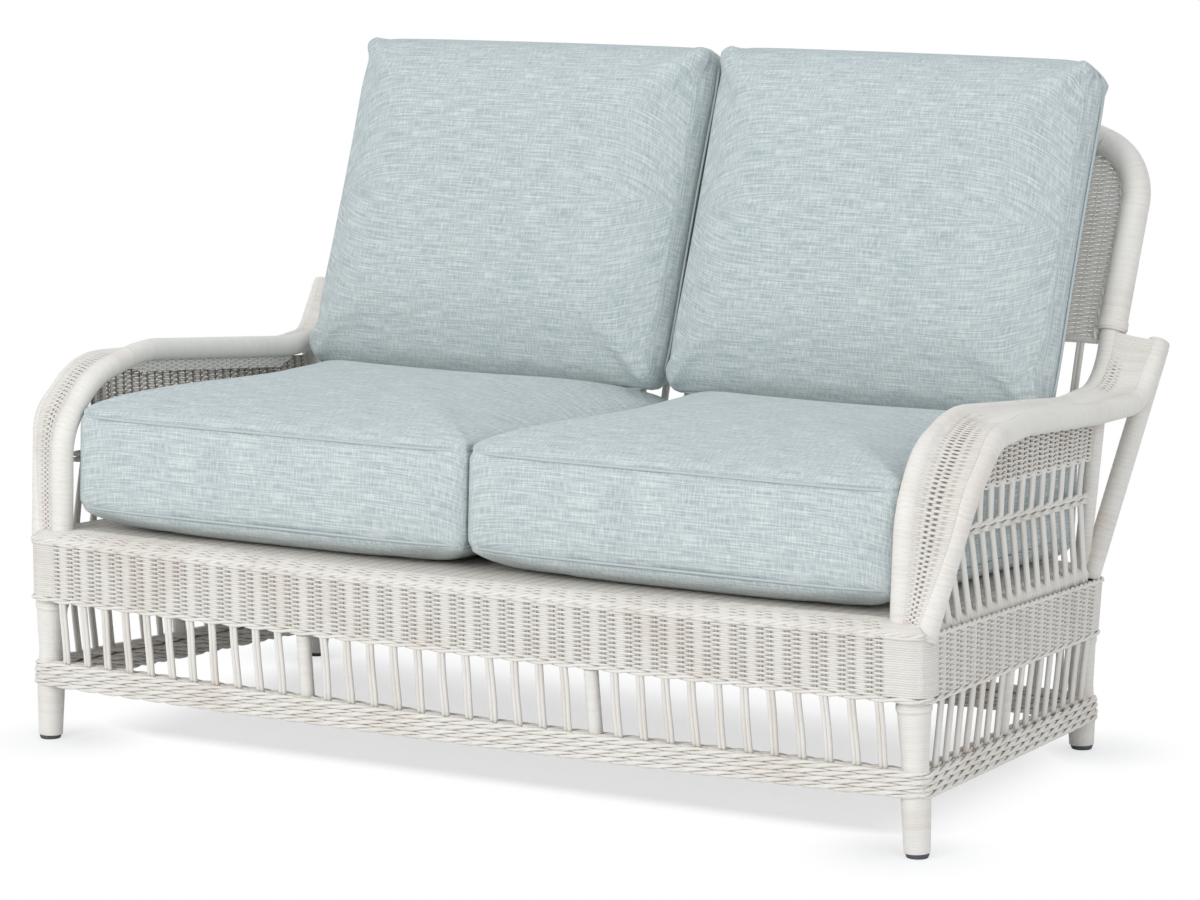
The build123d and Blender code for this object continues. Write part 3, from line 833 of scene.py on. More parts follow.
@dataclass(frozen=True)
class Rope:
    """Strands twisted round each other."""

    helix: float
    strand: float
    pitch: float
    count: int = 2
    plies: int = 1
    ply_angle: float = 0.75
    sides: int = 6
    turn_points: int = 14

    def lay(self, shape: Shape, path: Array, normal: Point, phase: float = 0.0) -> None:
        """Lay the rope along a path.

        Args:
            shape: Where the rope is added.
            path: Its centre line.
            normal: Direction from which the twist is counted.
            phase: Share of a turn by which the twist is ahead.
        """
        length = path_length(path)
        count = max(6, int(length / self.pitch * self.turn_points))
        centre = resampled(path, count)
        ahead = unit(np.gradient(centre, axis=0))
        out = np.broadcast_to(np.array(normal, float), centre.shape)
        out = unit(out - (out * ahead).sum(axis=-1, keepdims=True) * ahead)
        aside = np.cross(ahead, out)
        run = np.linspace(0.0, length, count)
        paths = []
        for place in range(self.count):
            for ply in range(self.plies):
                angle = 2 * np.pi * (run / self.pitch + place / self.count + phase) + self.ply_angle * ply
                paths.append(centre + self.helix * (np.cos(angle)[:, None] * aside
                                                    + np.sin(angle)[:, None] * out))
        tones = np.linspace(0.2, 0.8, len(paths))
        shape.strands(np.array(paths), normal, self.strand, self.strand, self.sides, 0.0, tones)


@dataclass(frozen=True)
class Weave:
    """Rows of flat strands that pass before and behind upright stakes."""

    row: float = 0.0032
    swing: float = 0.0016
    thick: float = 0.0009
    stake_radius: float = 0.0014
    stake_points: int = 12
    samples: int = 8
    sides: int = 6
    seed: int = 11
    # Painted shade on the stakes and on strands where they pass behind a stake, and an even darkening of
    # every strand.
    stake_pit: float = 0.6
    behind_pit: float = 0.42
    base_pit: float = 0.0
    dip_power: float = 4.0
    pairing: float = 0.0

    def fill(self, shape: Shape, surface: Surface, rows: int, first: Numbers, last: Numbers,
             swing: Optional[Swing] = None, half_row: Optional[float] = None) -> None:
        """Weave the rows of a panel.

        Args:
            shape: Where the rows are added.
            surface: Point and normal at stake numbers and shares of the height.
            rows: How many rows.
            first: Stake number at which each begins.
            last: Stake number at which each ends.
            swing: Share of the full swing at the same places.
            half_row: Half height of a strand.
        """
        first, last = np.broadcast_to(first, rows), np.broadcast_to(last, rows)
        count = max(5, int(float(np.max(last - first)) * self.samples) + 1)
        stake = first[:, None] + (last - first)[:, None] * np.linspace(0.0, 1.0, count)[None, :]
        level = np.broadcast_to(((np.arange(rows) + 0.5) / rows)[:, None], stake.shape)
        points, normals = surface(stake, level)
        odd = np.arange(rows)[:, None] % 2
        dip = ((1 - np.cos(np.pi * (stake + odd + self.pairing * (0.5 - odd)))) / 2) ** self.dip_power
        reach = np.broadcast_to(swing(stake, level) if swing else 1.0, dip.shape)
        points = points + normals * ((1 - 2 * dip) * reach * self.swing)[..., None]
        # Strands darken with painted shade where they pass behind a stake.
        shape.strands(points, normals, half_row or self.row * 0.6, self.thick, self.sides,
                      self.base_pit + self.behind_pit * reach * dip,
                      np.random.default_rng(self.seed).random(rows))

    def stakes(self, shape: Shape, surface: Surface, first: int, beyond: int, low: float = 0.0,
               high: Numbers = 1.0) -> None:
        """Add the stakes of a panel.

        Args:
            shape: Where they are added.
            surface: Point and normal of the panel.
            first: Number of the first.
            beyond: Number after the last.
            low: Share of the height at which they begin.
            high: Share at which they end, one for all or one each.
        """
        places = np.arange(first, beyond)
        shares = np.linspace(0.0, 1.0, self.stake_points)[None, :]
        level = low + (np.broadcast_to(high, len(places))[:, None] - low) * shares
        shifted = places + self.pairing * np.where(places % 2 == 0, 0.5, -0.5)
        points, normals = surface(np.broadcast_to(shifted[:, None], level.shape), level)
        # The stakes carry painted shade, as they lie behind the rows.
        shape.strands(points, normals, self.stake_radius, self.stake_radius, 6, self.stake_pit, 0.5)


@dataclass
class Studio:
    """Materials shared by the pieces, and the way a finished piece is put on the frame."""

    wicker: Material
    fabric: Material

    def place(self, shape: Shape, node: str) -> None:
        """Put a wicker piece in the place of a node.

        Args:
            shape: The piece.
            node: Name of the CAD node that it stands for.
        """
        name = f"{node}_wicker"
        piece = linked(name, shape.mesh(name))
        piece.data.materials.append(self.wicker)
        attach(piece, "frame")
        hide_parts(node)
        log.info("%s: %d faces", piece.name, len(piece.data.polygons))

    def place_pair(self, shape: Shape, node: str) -> None:
        """Put a right piece and its mirrored twin in the place of a pair of nodes."""
        self.place(shape, f"{node}_right")
        self.place(shape.mirrored(), f"{node}_left")

    def place_stretch(self, shape: Shape, part: Part, kind: str) -> None:
        """Put a stretch of an outline in its place, a side one on both sides."""
        put = self.place_pair if part is Part.SIDE else self.place
        put(shape, f"{part.value}_{kind}")


@dataclass
class Legs:
    """Four wrapped legs with a swelling at the rail and a binding ring under the apron."""

    studio: Studio
    foot: float = 0.0175
    rail: float = 0.020
    waist: float = 0.018
    head: float = 0.0225
    ring: float = 0.0241
    glide_top: float = 0.0065
    foot_level: float = 0.003
    levels: Row = (0.080, 0.132, 0.1934, 0.1946, 0.2030, 0.2042)
    tops: Pair = (0.288, 0.246)
    rear_drop: float = 0.038
    points: int = 300
    wrap: Wrap = Wrap(sides=24)

    def build(self) -> None:
        """Build both pairs."""
        sizes = [self.foot, self.rail, self.waist, self.head, self.ring, self.ring, self.head, self.head]
        for node, depth, drop, top in (("front_leg", 0.0, 0.0, self.tops[0]),
                                       ("rear_leg", LAYOUT.depth, self.rear_drop, self.tops[1])):
            heights = np.linspace(self.glide_top, top, self.points)
            levels = [self.foot_level, *(level - drop for level in self.levels), top]
            path = np.stack([LAYOUT.leg_half(depth, heights), np.full(self.points, depth), heights], axis=1)
            shape = Shape()
            self.wrap.cover(shape, path, FORWARD, np.interp(heights, levels, sizes))
            self.studio.place_pair(shape, node)


@dataclass
class BottomRail:
    """Border round the feet: twined ropes laid round a core, close together."""

    studio: Studio
    face: float = 0.0194
    top: float = 0.0325
    top_setbacks: Pair = (0.0105, 0.0045)
    inside: float = -0.0070
    rows: Row = (0.0048, 0.0137, 0.0226, 0.0315)
    core_outset: float = 0.0062
    core_height: float = 0.018
    core: float = 0.0115
    core_pit: float = 0.6
    phase: float = 0.21
    rope: Rope = Rope(plies=2, helix=0.0028, strand=0.0024, pitch=0.080)

    def build(self) -> None:
        """Build the front, rear and side rails."""
        lines = [(self.face, height) for height in self.rows]
        face_setback, inside_setback = self.top_setbacks
        lines += [(self.face - face_setback, self.top), (self.inside + inside_setback, self.top)]
        lines += [(self.inside, height) for height in self.rows[:3]]
        lines += [(self.core_outset, self.rows[0])]
        for part in Part:
            shape = Shape()
            for number, (outset, lift) in enumerate(lines):
                self.rope.lay(shape, self.line(part, outset, lift), UP, phase=number * self.phase)
            # The core, seen between the ropes, is darkened with painted shade.
            core = resampled(self.line(part, self.core_outset, self.core_height), 200)
            shape.strands(core, UP, self.core, self.core, 10, self.core_pit)
            self.studio.place_stretch(shape, part, "rail")

    @staticmethod
    def line(part: Part, outset: float, lift: float) -> Array:
        """A line round the legs, at a height over the rail's underside."""
        front, rear = LAYOUT.rail_bottoms
        return LAYOUT.outline(part, outset, (front + lift, rear + lift))


@dataclass
class Reeds:
    """Pairs of round reeds and the thicker posts of the galleries."""

    studio: Studio
    reed: float = 0.0032
    spread: float = 0.0057
    post: float = 0.010
    bed: float = 0.004
    drift: float = 0.0006
    points: int = 15
    rail_depth: float = 0.036
    reed_outsets: Pair = (0.012, 0.024)
    post_outsets: Pair = (0.005, 0.017)
    front_bays: int = 36
    rear_bays: int = 33
    side_bays: int = 17
    side_post: int = 8
    mid_outsets: Pair = (0.021, 0.004)
    mid_splay: float = 0.003
    band_height: float = 0.017
    fill_start: float = 0.096
    seed: int = 3
    post_wrap: Wrap = Wrap(sides=16)

    def pair(self, shape: Shape, foot: Array, head: Array, facing: Point, tone: float,
             splay: float = 0.0) -> None:
        """Add two reeds side by side.

        Args:
            shape: Where they are added.
            foot: Lower end of the pair's middle line.
            head: Upper end.
            facing: Direction that the pair faces.
            tone: Tone of the reeds.
            splay: Extra half spread at the foot.
        """
        run = unit(head - foot)
        aside = unit(np.cross(run, np.array(facing)))
        share = np.linspace(0.0, 1.0, self.points)[:, None]
        middle = foot - run * self.bed + (head - foot + 2 * run * self.bed) * share
        opening = self.spread / 2 + splay * (1 - share) ** 7
        drift = self.drift * np.sin(5 * share + 40 * tone)
        paths = np.array([middle + aside * (opening + drift), middle - aside * (opening - drift)])
        shape.strands(paths, facing, self.reed, self.reed, 8, 0.0, np.array([tone, 1 - tone]))

    def cross_gallery(self, part: Part) -> None:
        """Build the gallery between the rail and the front or rear apron.

        Args:
            part: Front or rear.
        """
        front = part is Part.FRONT
        half, depth, away, count = ((LAYOUT.front_half, 0.0, -1.0, self.front_bays) if front
                                    else (LAYOUT.rear_half, LAYOUT.depth, 1.0, self.rear_bays))
        reeds, posts = Shape(), Shape()
        chance = np.random.default_rng(self.seed)
        for place in range(1, count):
            share = 2 * place / count - 1
            swell = float(LAYOUT.bow(share * half)) if front else 0.0
            is_post = place % (count // 3) == 0
            foot_out, head_out = self.post_outsets if is_post else self.reed_outsets
            foot_y, head_y = depth + away * (foot_out + swell), depth + away * (head_out + swell)
            low = float(LAYOUT.along(LAYOUT.rail_bottoms, foot_y)) + self.rail_depth
            high = float(LAYOUT.along(LAYOUT.apron_bottoms, head_y))
            foot = np.array([share * LAYOUT.leg_half(depth, low), foot_y, low])
            head = np.array([share * LAYOUT.leg_half(depth, high), head_y, high])
            if is_post:
                self.post_wrap.cover(posts, np.array([foot, head]), FORWARD, self.post)
            else:
                self.pair(reeds, foot, head, BACKWARD, float(chance.random()))
        self.studio.place(reeds, f"{part.value}_reeds")
        self.studio.place(posts, f"{part.value}_gallery_posts")

    def side_galleries(self) -> None:
        """Build the galleries of both sides, below the seat and between seat and arm."""
        shapes = {name: Shape() for name in ("side_reeds", "side_gallery_post", "arm_mid_reeds",
                                             "arm_upper_reeds")}
        chance = np.random.default_rng(self.seed + 1)
        for place in range(1, self.side_bays):
            depth = place * LAYOUT.depth / self.side_bays
            tone = float(chance.random())
            is_post = place == self.side_post
            rail, low_edge, high_edge, band, fill = (
                float(LAYOUT.along(ends, depth))
                for ends in (LAYOUT.rail_bottoms, LAYOUT.apron_bottoms, LAYOUT.apron_tops, LAYOUT.band_feet,
                             LAYOUT.fill_feet))
            low, high = rail + self.rail_depth, low_edge
            foot_out, head_out = self.post_outsets if is_post else self.reed_outsets
            foot = np.array([LAYOUT.leg_half(depth, low) + foot_out, depth, low])
            head = np.array([LAYOUT.leg_half(depth, high) + head_out, depth, high])
            if is_post:
                self.post_wrap.cover(shapes["side_gallery_post"], np.array([foot, head]), ACROSS, self.post)
            else:
                self.pair(shapes["side_reeds"], foot, head, ACROSS, tone)
            if place == 1:
                continue
            foot = np.array([LAYOUT.leg_half(depth, high_edge) + self.mid_outsets[0], depth, high_edge])
            head = np.array([LAYOUT.side_half(depth, band) + self.mid_outsets[1], depth, band])
            self.pair(shapes["arm_mid_reeds"], foot, head, ACROSS, tone, self.mid_splay)
            if depth > self.fill_start:
                foot, head = (np.array([LAYOUT.side_half(depth, height), depth, height])
                              for height in (band + self.band_height, fill))
                self.pair(shapes["arm_upper_reeds"], foot, head, ACROSS, tone)
        for name, shape in shapes.items():
            self.studio.place_pair(shape, name)


@dataclass
class Aprons:
    """Woven skirts round the seat: twisted border, plain weave and twined rows up to the top edge."""

    studio: Studio
    outset_low: float = 0.0255
    outset_high: float = 0.0285
    flare: float = 0.012
    stake_pitch: float = 0.019
    stake_ends: Pair = (0.02, 0.95)
    border_share: float = 0.085
    weave_share: float = 0.965
    corner_bays: float = 2.2
    corner_ease: float = 0.6
    points: int = 600
    tube_height: float = 0.2867
    tube_outset: float = 0.0088
    lip_outset: float = 0.03
    lip_radius: float = 0.0226
    lip_start: float = math.radians(18)
    lip_turn: int = 11
    lip_flat: int = 8
    lip_row: float = 0.0034
    lip_half_row: float = 0.0021
    lip_lift: float = 0.0006
    lip_fall: float = 0.05
    weave: Weave = Weave(swing=0.0017, pairing=0.33, stake_pit=0.40, behind_pit=0.24, base_pit=0.16)
    lip_weave: Weave = Weave(swing=0.0009, pairing=0.33, stake_pit=0.40, behind_pit=0.24, base_pit=0.16)

    def build(self) -> None:
        """Build the front, rear and side aprons."""
        for part in Part:
            shape = self.one(part)
            if part is Part.FRONT:
                self.lip(shape)
            self.studio.place_stretch(shape, part, "apron")

    def away_from_corners(self, bays: float) -> Swing:
        """Swing that dies out where the rows wrap the corner posts.

        Args:
            bays: How many bays the apron has.

        Returns:
            Share of the full swing at a stake number.
        """
        def swing(stake: Array, level: Array) -> Array:
            """Share of the full swing."""
            return held((np.minimum(stake, bays - stake) - self.corner_bays) / self.corner_ease)
        return swing

    def one(self, part: Part) -> Shape:
        """The woven shape of one apron.

        Args:
            part: Which stretch of the outline it follows.

        Returns:
            The shape.
        """
        low = resampled(LAYOUT.outline(part, self.outset_low, LAYOUT.apron_bottoms), self.points)
        high = resampled(LAYOUT.outline(part, self.outset_high, LAYOUT.apron_tops, self.flare), self.points)
        bays = int(round(path_length(low) / self.stake_pitch))
        grid = np.linspace(0.0, bays, self.points)
        slopes = np.gradient(low[:, :2], axis=0)
        outward = np.stack([slopes[:, 1], -slopes[:, 0], slopes[:, 0] * 0.0], axis=1)

        def surface(stake: Array, level: Array) -> Tuple[Array, Array]:
            """Point and normal of the apron."""
            foot, head = read_off(stake, grid, low), read_off(stake, grid, high)
            return foot + (head - foot) * level[..., None], unit(read_off(stake, grid, outward))

        def lower(stake: Array, level: Array) -> Tuple[Array, Array]:
            """Point and normal of the plain weave."""
            return surface(stake, self.border_share + (self.weave_share - self.border_share) * level)

        shape = Shape()
        middle = self.points // 2
        height = float(np.linalg.norm(high[middle] - low[middle]))
        rows = int(round(height * (self.weave_share - self.border_share) / self.weave.row))
        self.weave.fill(shape, lower, rows, 0.0, bays, self.away_from_corners(bays))
        self.weave.stakes(shape, surface, 3, bays - 2, *self.stake_ends)
        for level, rope in ((self.border_share / 2, Rope(0.0022, 0.0024, 4 * self.stake_pitch)),
                            ((1.0 + self.weave_share) / 2, Rope(0.0018, 0.0022, 2 * self.stake_pitch))):
            rope.lay(shape, surface(grid, np.full_like(grid, level))[0], UP)
        return shape

    def lip(self, shape: Shape) -> None:
        """Carry the front apron's weave over the front tube to the edge of the deck.

        Args:
            shape: Shape of the front apron.
        """
        low = resampled(LAYOUT.outline(Part.FRONT, self.lip_outset, (0.3, 0.3)), self.points)
        bays = int(round(path_length(low) / self.stake_pitch))
        turn = np.concatenate([np.linspace(self.lip_start, math.pi / 2, self.lip_turn),
                               np.full(self.lip_flat, math.pi / 2)])
        back = np.concatenate([np.zeros(self.lip_turn), self.lip_row * (1 + np.arange(self.lip_flat))])
        rings = []
        for angle, inward in zip(turn, back):
            outset = self.tube_outset + self.lip_radius * math.cos(angle)
            height = (self.tube_height + self.lip_radius * math.sin(angle) + self.lip_lift
                      - inward * self.lip_fall)
            ring = resampled(LAYOUT.outline(Part.FRONT, outset, (height, height)), self.points)
            rings.append(ring + np.array([0.0, inward, 0.0]))
        stack = np.array(rings)
        count, last = len(rings), self.points - 1
        flat = unit(np.gradient(low[:, :2], axis=0))
        aside = np.stack([flat[:, 1], -flat[:, 0], np.zeros(self.points)], axis=1)

        def surface(stake: Array, level: Array) -> Tuple[Array, Array]:
            """Point and normal of the lip.

            Args:
                stake: Stake numbers.
                level: Shares of the way over the tube.

            Returns:
                Points and normals.
            """
            which = np.clip(np.round(level * count - 0.5).astype(int), 0, count - 1)
            place = np.clip(stake / bays * last, 0, last)
            before = np.clip(np.floor(place).astype(int), 0, last - 1)
            share = (place - before)[..., None]
            points = stack[which, before] * (1 - share) + stack[which, before + 1] * share
            angle = turn[which][..., None]
            return points, unit(aside[before] * np.cos(angle) + np.array(UP) * np.sin(angle))

        self.lip_weave.fill(shape, surface, count, 0.0, bays, self.away_from_corners(bays), self.lip_half_row)
        self.lip_weave.stakes(shape, surface, 3, bays - 2)


@dataclass
class Arms:
    """Scrolled arms: two wrapped rolls joined by a woven web, with the side panel below."""

    studio: Studio
    radius: float = 0.016
    inner_corners: Points = ((0.6625, 0.0, 0.2883), (0.664, 0.008, 0.452), (0.658, 0.070, 0.522),
                             (0.650, 0.190, 0.550), (0.642, 0.582, 0.507), (0.645, 0.730, 0.513),
                             (0.645, 0.762, 0.594))
    inner_bends: Row = (0.100, 0.120, 0.250, 0.300, 0.090)
    outer_corners: Points = ((0.6955, -0.002, 0.2883), (0.728, 0.052, 0.466), (0.725, 0.140, 0.532),
                             (0.692, 0.330, 0.523), (0.6815, 0.450, 0.511), (0.685, 0.600, 0.499),
                             (0.703, 0.722, 0.500), (0.709, 0.786, 0.580))
    outer_bends: Row = (0.070, 0.120, 0.400, 0.400, 0.300, 0.060)
    points: int = 800
    web_span: Pair = (0.004, 0.785)
    wing_end: float = 0.997
    web_lift: float = 0.0142
    web_row: float = 0.0034
    web_sink: float = 0.4
    web_stakes: Row = (-1.1, 0.0, 1.0, 2.0, 3.0, 4.1)
    web_places: Row = (0.0, 0.18, 0.35, 0.53, 0.76, 1.0)
    web_swings: Row = (0.0, 0.25, 1.0, 1.0, 0.35, 0.0)
    wing_span: Pair = (0.86, 0.965)
    wing_swing: float = 0.8
    slit_end: float = 0.43
    skirt_span: Pair = (0.34, 0.80)
    skirt_bay: float = 0.012
    skirt_rows: int = 7
    skirt_drop: float = 0.022
    skirt_half_row: float = 0.0021
    lining: float = 0.0005
    rear_post_depth: float = 0.668
    rear_post_heights: Pair = (0.250, 0.498)
    rear_post: float = 0.012
    rake_ends: Tuple[Point, Point] = ((0.655, 0.670, 0.249), (0.711, 0.780, 0.574))
    rake_post: float = 0.015
    side_bays: int = 34
    band_span: Pair = (0.030, 0.660)
    band_height: float = 0.017
    fill_span: Pair = (0.096, 0.655)
    fill_rows: int = 19
    fill_half_row: float = 0.0018
    fill_scallop: float = 0.006
    fill_top_depths: Row = (0.096, 0.150, 0.250, 0.430, 0.570, 0.650)
    fill_top_heights: Row = (0.488, 0.520, 0.517, 0.502, 0.489, 0.483)
    wrap: Wrap = Wrap(pitch=0.0034)
    weave: Weave = Weave(swing=0.0018, stake_pit=0.8, behind_pit=0.55, base_pit=0.15)
    skirt_weave: Weave = Weave(swing=0.0018, stake_pit=0.25, behind_pit=0.2)

    def build(self) -> None:
        """Build both arms."""
        inner = rounded_path(self.inner_corners, self.inner_bends)
        outer = rounded_path(self.outer_corners, self.outer_bends)
        depth = self.rear_post_depth
        rear_post = np.array([(float(LAYOUT.side_half(depth, height)), depth, height)
                              for height in self.rear_post_heights])
        start, middle = self.web_span
        self.pole("arm_inner_roll", inner, self.radius)
        self.pole("arm_outer_roll", outer, self.radius)
        self.studio.place_pair(self.web(inner, outer, start, middle), "arm_web")
        self.studio.place_pair(self.web(inner, outer, middle, self.wing_end), "arm_wing")
        self.pole("arm_rear_post", rear_post, self.rear_post)
        self.pole("rake_post", np.array(self.rake_ends), self.rake_post)
        self.band()
        self.side_fill()

    def pole(self, node: str, path: Array, radius: float) -> None:
        """Build a wrapped pole of both arms.

        Args:
            node: Name of the pair of nodes.
            path: Centre line of the right one.
            radius: Its radius.
        """
        shape = Shape()
        self.wrap.cover(shape, path, ACROSS, radius)
        self.studio.place_pair(shape, node)

    def web(self, inner: Array, outer: Array, start: float, end: float) -> Shape:
        """Rows woven from roll to roll.

        Args:
            inner: Centre line of the inner roll.
            outer: Centre line of the outer roll.
            start: Share of the rolls at which the web begins.
            end: Share at which it ends.

        Returns:
            The web of the right arm.
        """
        grid = np.linspace(0.0, 1.0, self.points)
        near, far = resampled(inner, self.points), resampled(outer, self.points)
        ahead = unit(np.gradient(near, axis=0) + np.gradient(far, axis=0))
        normals = unit(np.cross(far - near, ahead))

        def surface(stake: Array, level: Array) -> Tuple[Array, Array]:
            """Point and normal of the web.

            Args:
                stake: Stake numbers, counted from the inner roll.
                level: Shares of the way along the web.

            Returns:
                Points and normals.
            """
            share = start + (end - start) * level
            first, second = read_off(share, grid, near), read_off(share, grid, far)
            normal = read_off(share, grid, normals)
            place = np.interp(stake, self.web_stakes, self.web_places)[..., None]
            gap = np.linalg.norm(second - first, axis=-1, keepdims=True)
            inset = (second - first) * np.minimum(self.radius * self.web_sink / gap, 0.45)
            dip = 1.0 - np.minimum(gap / 0.2, 0.4) * np.sin(np.pi * place)
            first, second = first + inset, second - inset
            return first + (second - first) * place + normal * self.web_lift * dip, unit(normal)

        def swing(stake: Array, level: Array) -> Array:
            """Share of the full swing, deep in the slits of the front and in the wing.

            Args:
                stake: Stake numbers.
                level: Shares of the way along the web.

            Returns:
                The shares.
            """
            share = start + (end - start) * level
            slits = np.interp(stake, self.web_stakes, self.web_swings)
            low, high = self.wing_span
            wing = held((share - low) / 0.03) * held((high - share) / 0.03)
            wing = wing * held(1.5 - stake) * self.wing_swing
            return np.maximum(slits * held((self.slit_end - share) / 0.06), wing)

        shape = Shape()
        last = self.points - 1
        rows = int(round(path_length(near[int(start * last):int(end * last)]) / self.web_row))
        self.weave.fill(shape, surface, rows, self.web_stakes[0], self.web_stakes[-1], swing,
                        self.web_row * 0.68)
        if start < self.slit_end:
            # Strands in the slits carry the stakes' painted shade.
            slits = np.linspace(0.0, (self.slit_end - 0.03 - start) / (end - start), 120)
            points, out = surface(np.repeat([[1.0], [2.0]], 120, axis=1), np.array([slits, slits]))
            shape.strands(points, out, 0.0018, 0.0013, 6, self.weave.stake_pit)
            self.skirt(shape, inner)
        return shape

    def skirt(self, shape: Shape, inner: Array) -> None:
        """Hang the woven edge under the inner roll, down to the side panel.

        Args:
            shape: Shape of the web.
            inner: Centre line of the inner roll.
        """
        low, high = (int(share * (self.points - 1)) for share in self.skirt_span)
        path = resampled(inner, self.points)[low:high]
        bays = int(round(path_length(path) / self.skirt_bay))
        grid = np.linspace(0.0, bays, len(path))

        def surface(stake: Array, level: Array) -> Tuple[Array, Array]:
            """Point and normal of the skirt.

            Args:
                stake: Stake numbers.
                level: Shares of the way down.

            Returns:
                Points and normals.
            """
            points = read_off(stake, grid, path)
            ease = held(np.minimum(stake, bays - stake) / 4.0)
            points[..., 0] += self.radius * 0.3
            points[..., 2] -= self.radius * 0.7 + level * self.skirt_drop * ease
            return points, np.broadcast_to(-np.array(ACROSS), points.shape)

        self.skirt_weave.fill(shape, surface, self.skirt_rows, 0.0, bays, None, self.skirt_half_row)
        self.skirt_weave.stakes(shape, surface, 0, bays)
        # A lining strip behind the skirt, with a little painted shade.
        along = np.linspace(0.0, bays, 300)
        lining, out = surface(along, along * 0.0 + 0.5)
        drop = (surface(along, along * 0.0)[0] - surface(along, along * 0.0 + 1.0)[0])[:, 2]
        shape.strands(lining - out * 0.0012, out, drop * 0.5 + self.lining, self.lining, 4, 0.2)

    def band(self) -> None:
        """Twine the band across the side panel."""
        shape = Shape()
        depths = np.linspace(*self.band_span, 200)
        rope = Rope(helix=0.0021, strand=0.0027, pitch=4 * LAYOUT.depth / self.side_bays)
        for share in (0.25, 0.75):
            heights = LAYOUT.along(LAYOUT.band_feet, depths) + self.band_height * share
            line = np.stack([LAYOUT.side_half(depths, heights), depths, heights], axis=1)
            rope.lay(shape, line, UP, phase=share)
        self.studio.place_pair(shape, "arm_band")

    def side_fill(self) -> None:
        """Weave the fill between the upper reeds and the outer roll, with a scalloped lower edge."""
        bay = LAYOUT.depth / self.side_bays
        start, end = self.fill_span

        def surface(stake: Array, level: Array) -> Tuple[Array, Array]:
            """Point and normal of the fill.

            Args:
                stake: Stake numbers, counted from the front feet.
                level: Shares of the height.

            Returns:
                Points and normals.
            """
            depth = np.clip(stake * bay, start, end)
            scallop = np.abs(np.sin(np.pi * depth / (2 * bay)))
            low = LAYOUT.along(LAYOUT.fill_feet, depth) + self.fill_scallop * (1 - scallop) - 0.003
            height = low + (np.interp(depth, self.fill_top_depths, self.fill_top_heights) - low) * level
            points = np.stack([LAYOUT.side_half(depth, height), depth, height], axis=-1)
            return points, np.broadcast_to(np.array(ACROSS), points.shape)

        shape = Shape()
        self.weave.fill(shape, surface, self.fill_rows, start / bay, end / bay, None, self.fill_half_row)
        self.weave.stakes(shape, surface, math.ceil(start / bay), math.floor(end / bay) + 1)
        along = np.linspace(start / bay, end / bay, 300)
        edge = surface(along, along * 0.0)[0]
        shape.strands(edge, ACROSS, 0.002, 0.003, 6, 0.0, 0.3)
        self.studio.place_pair(shape, "arm_panel")


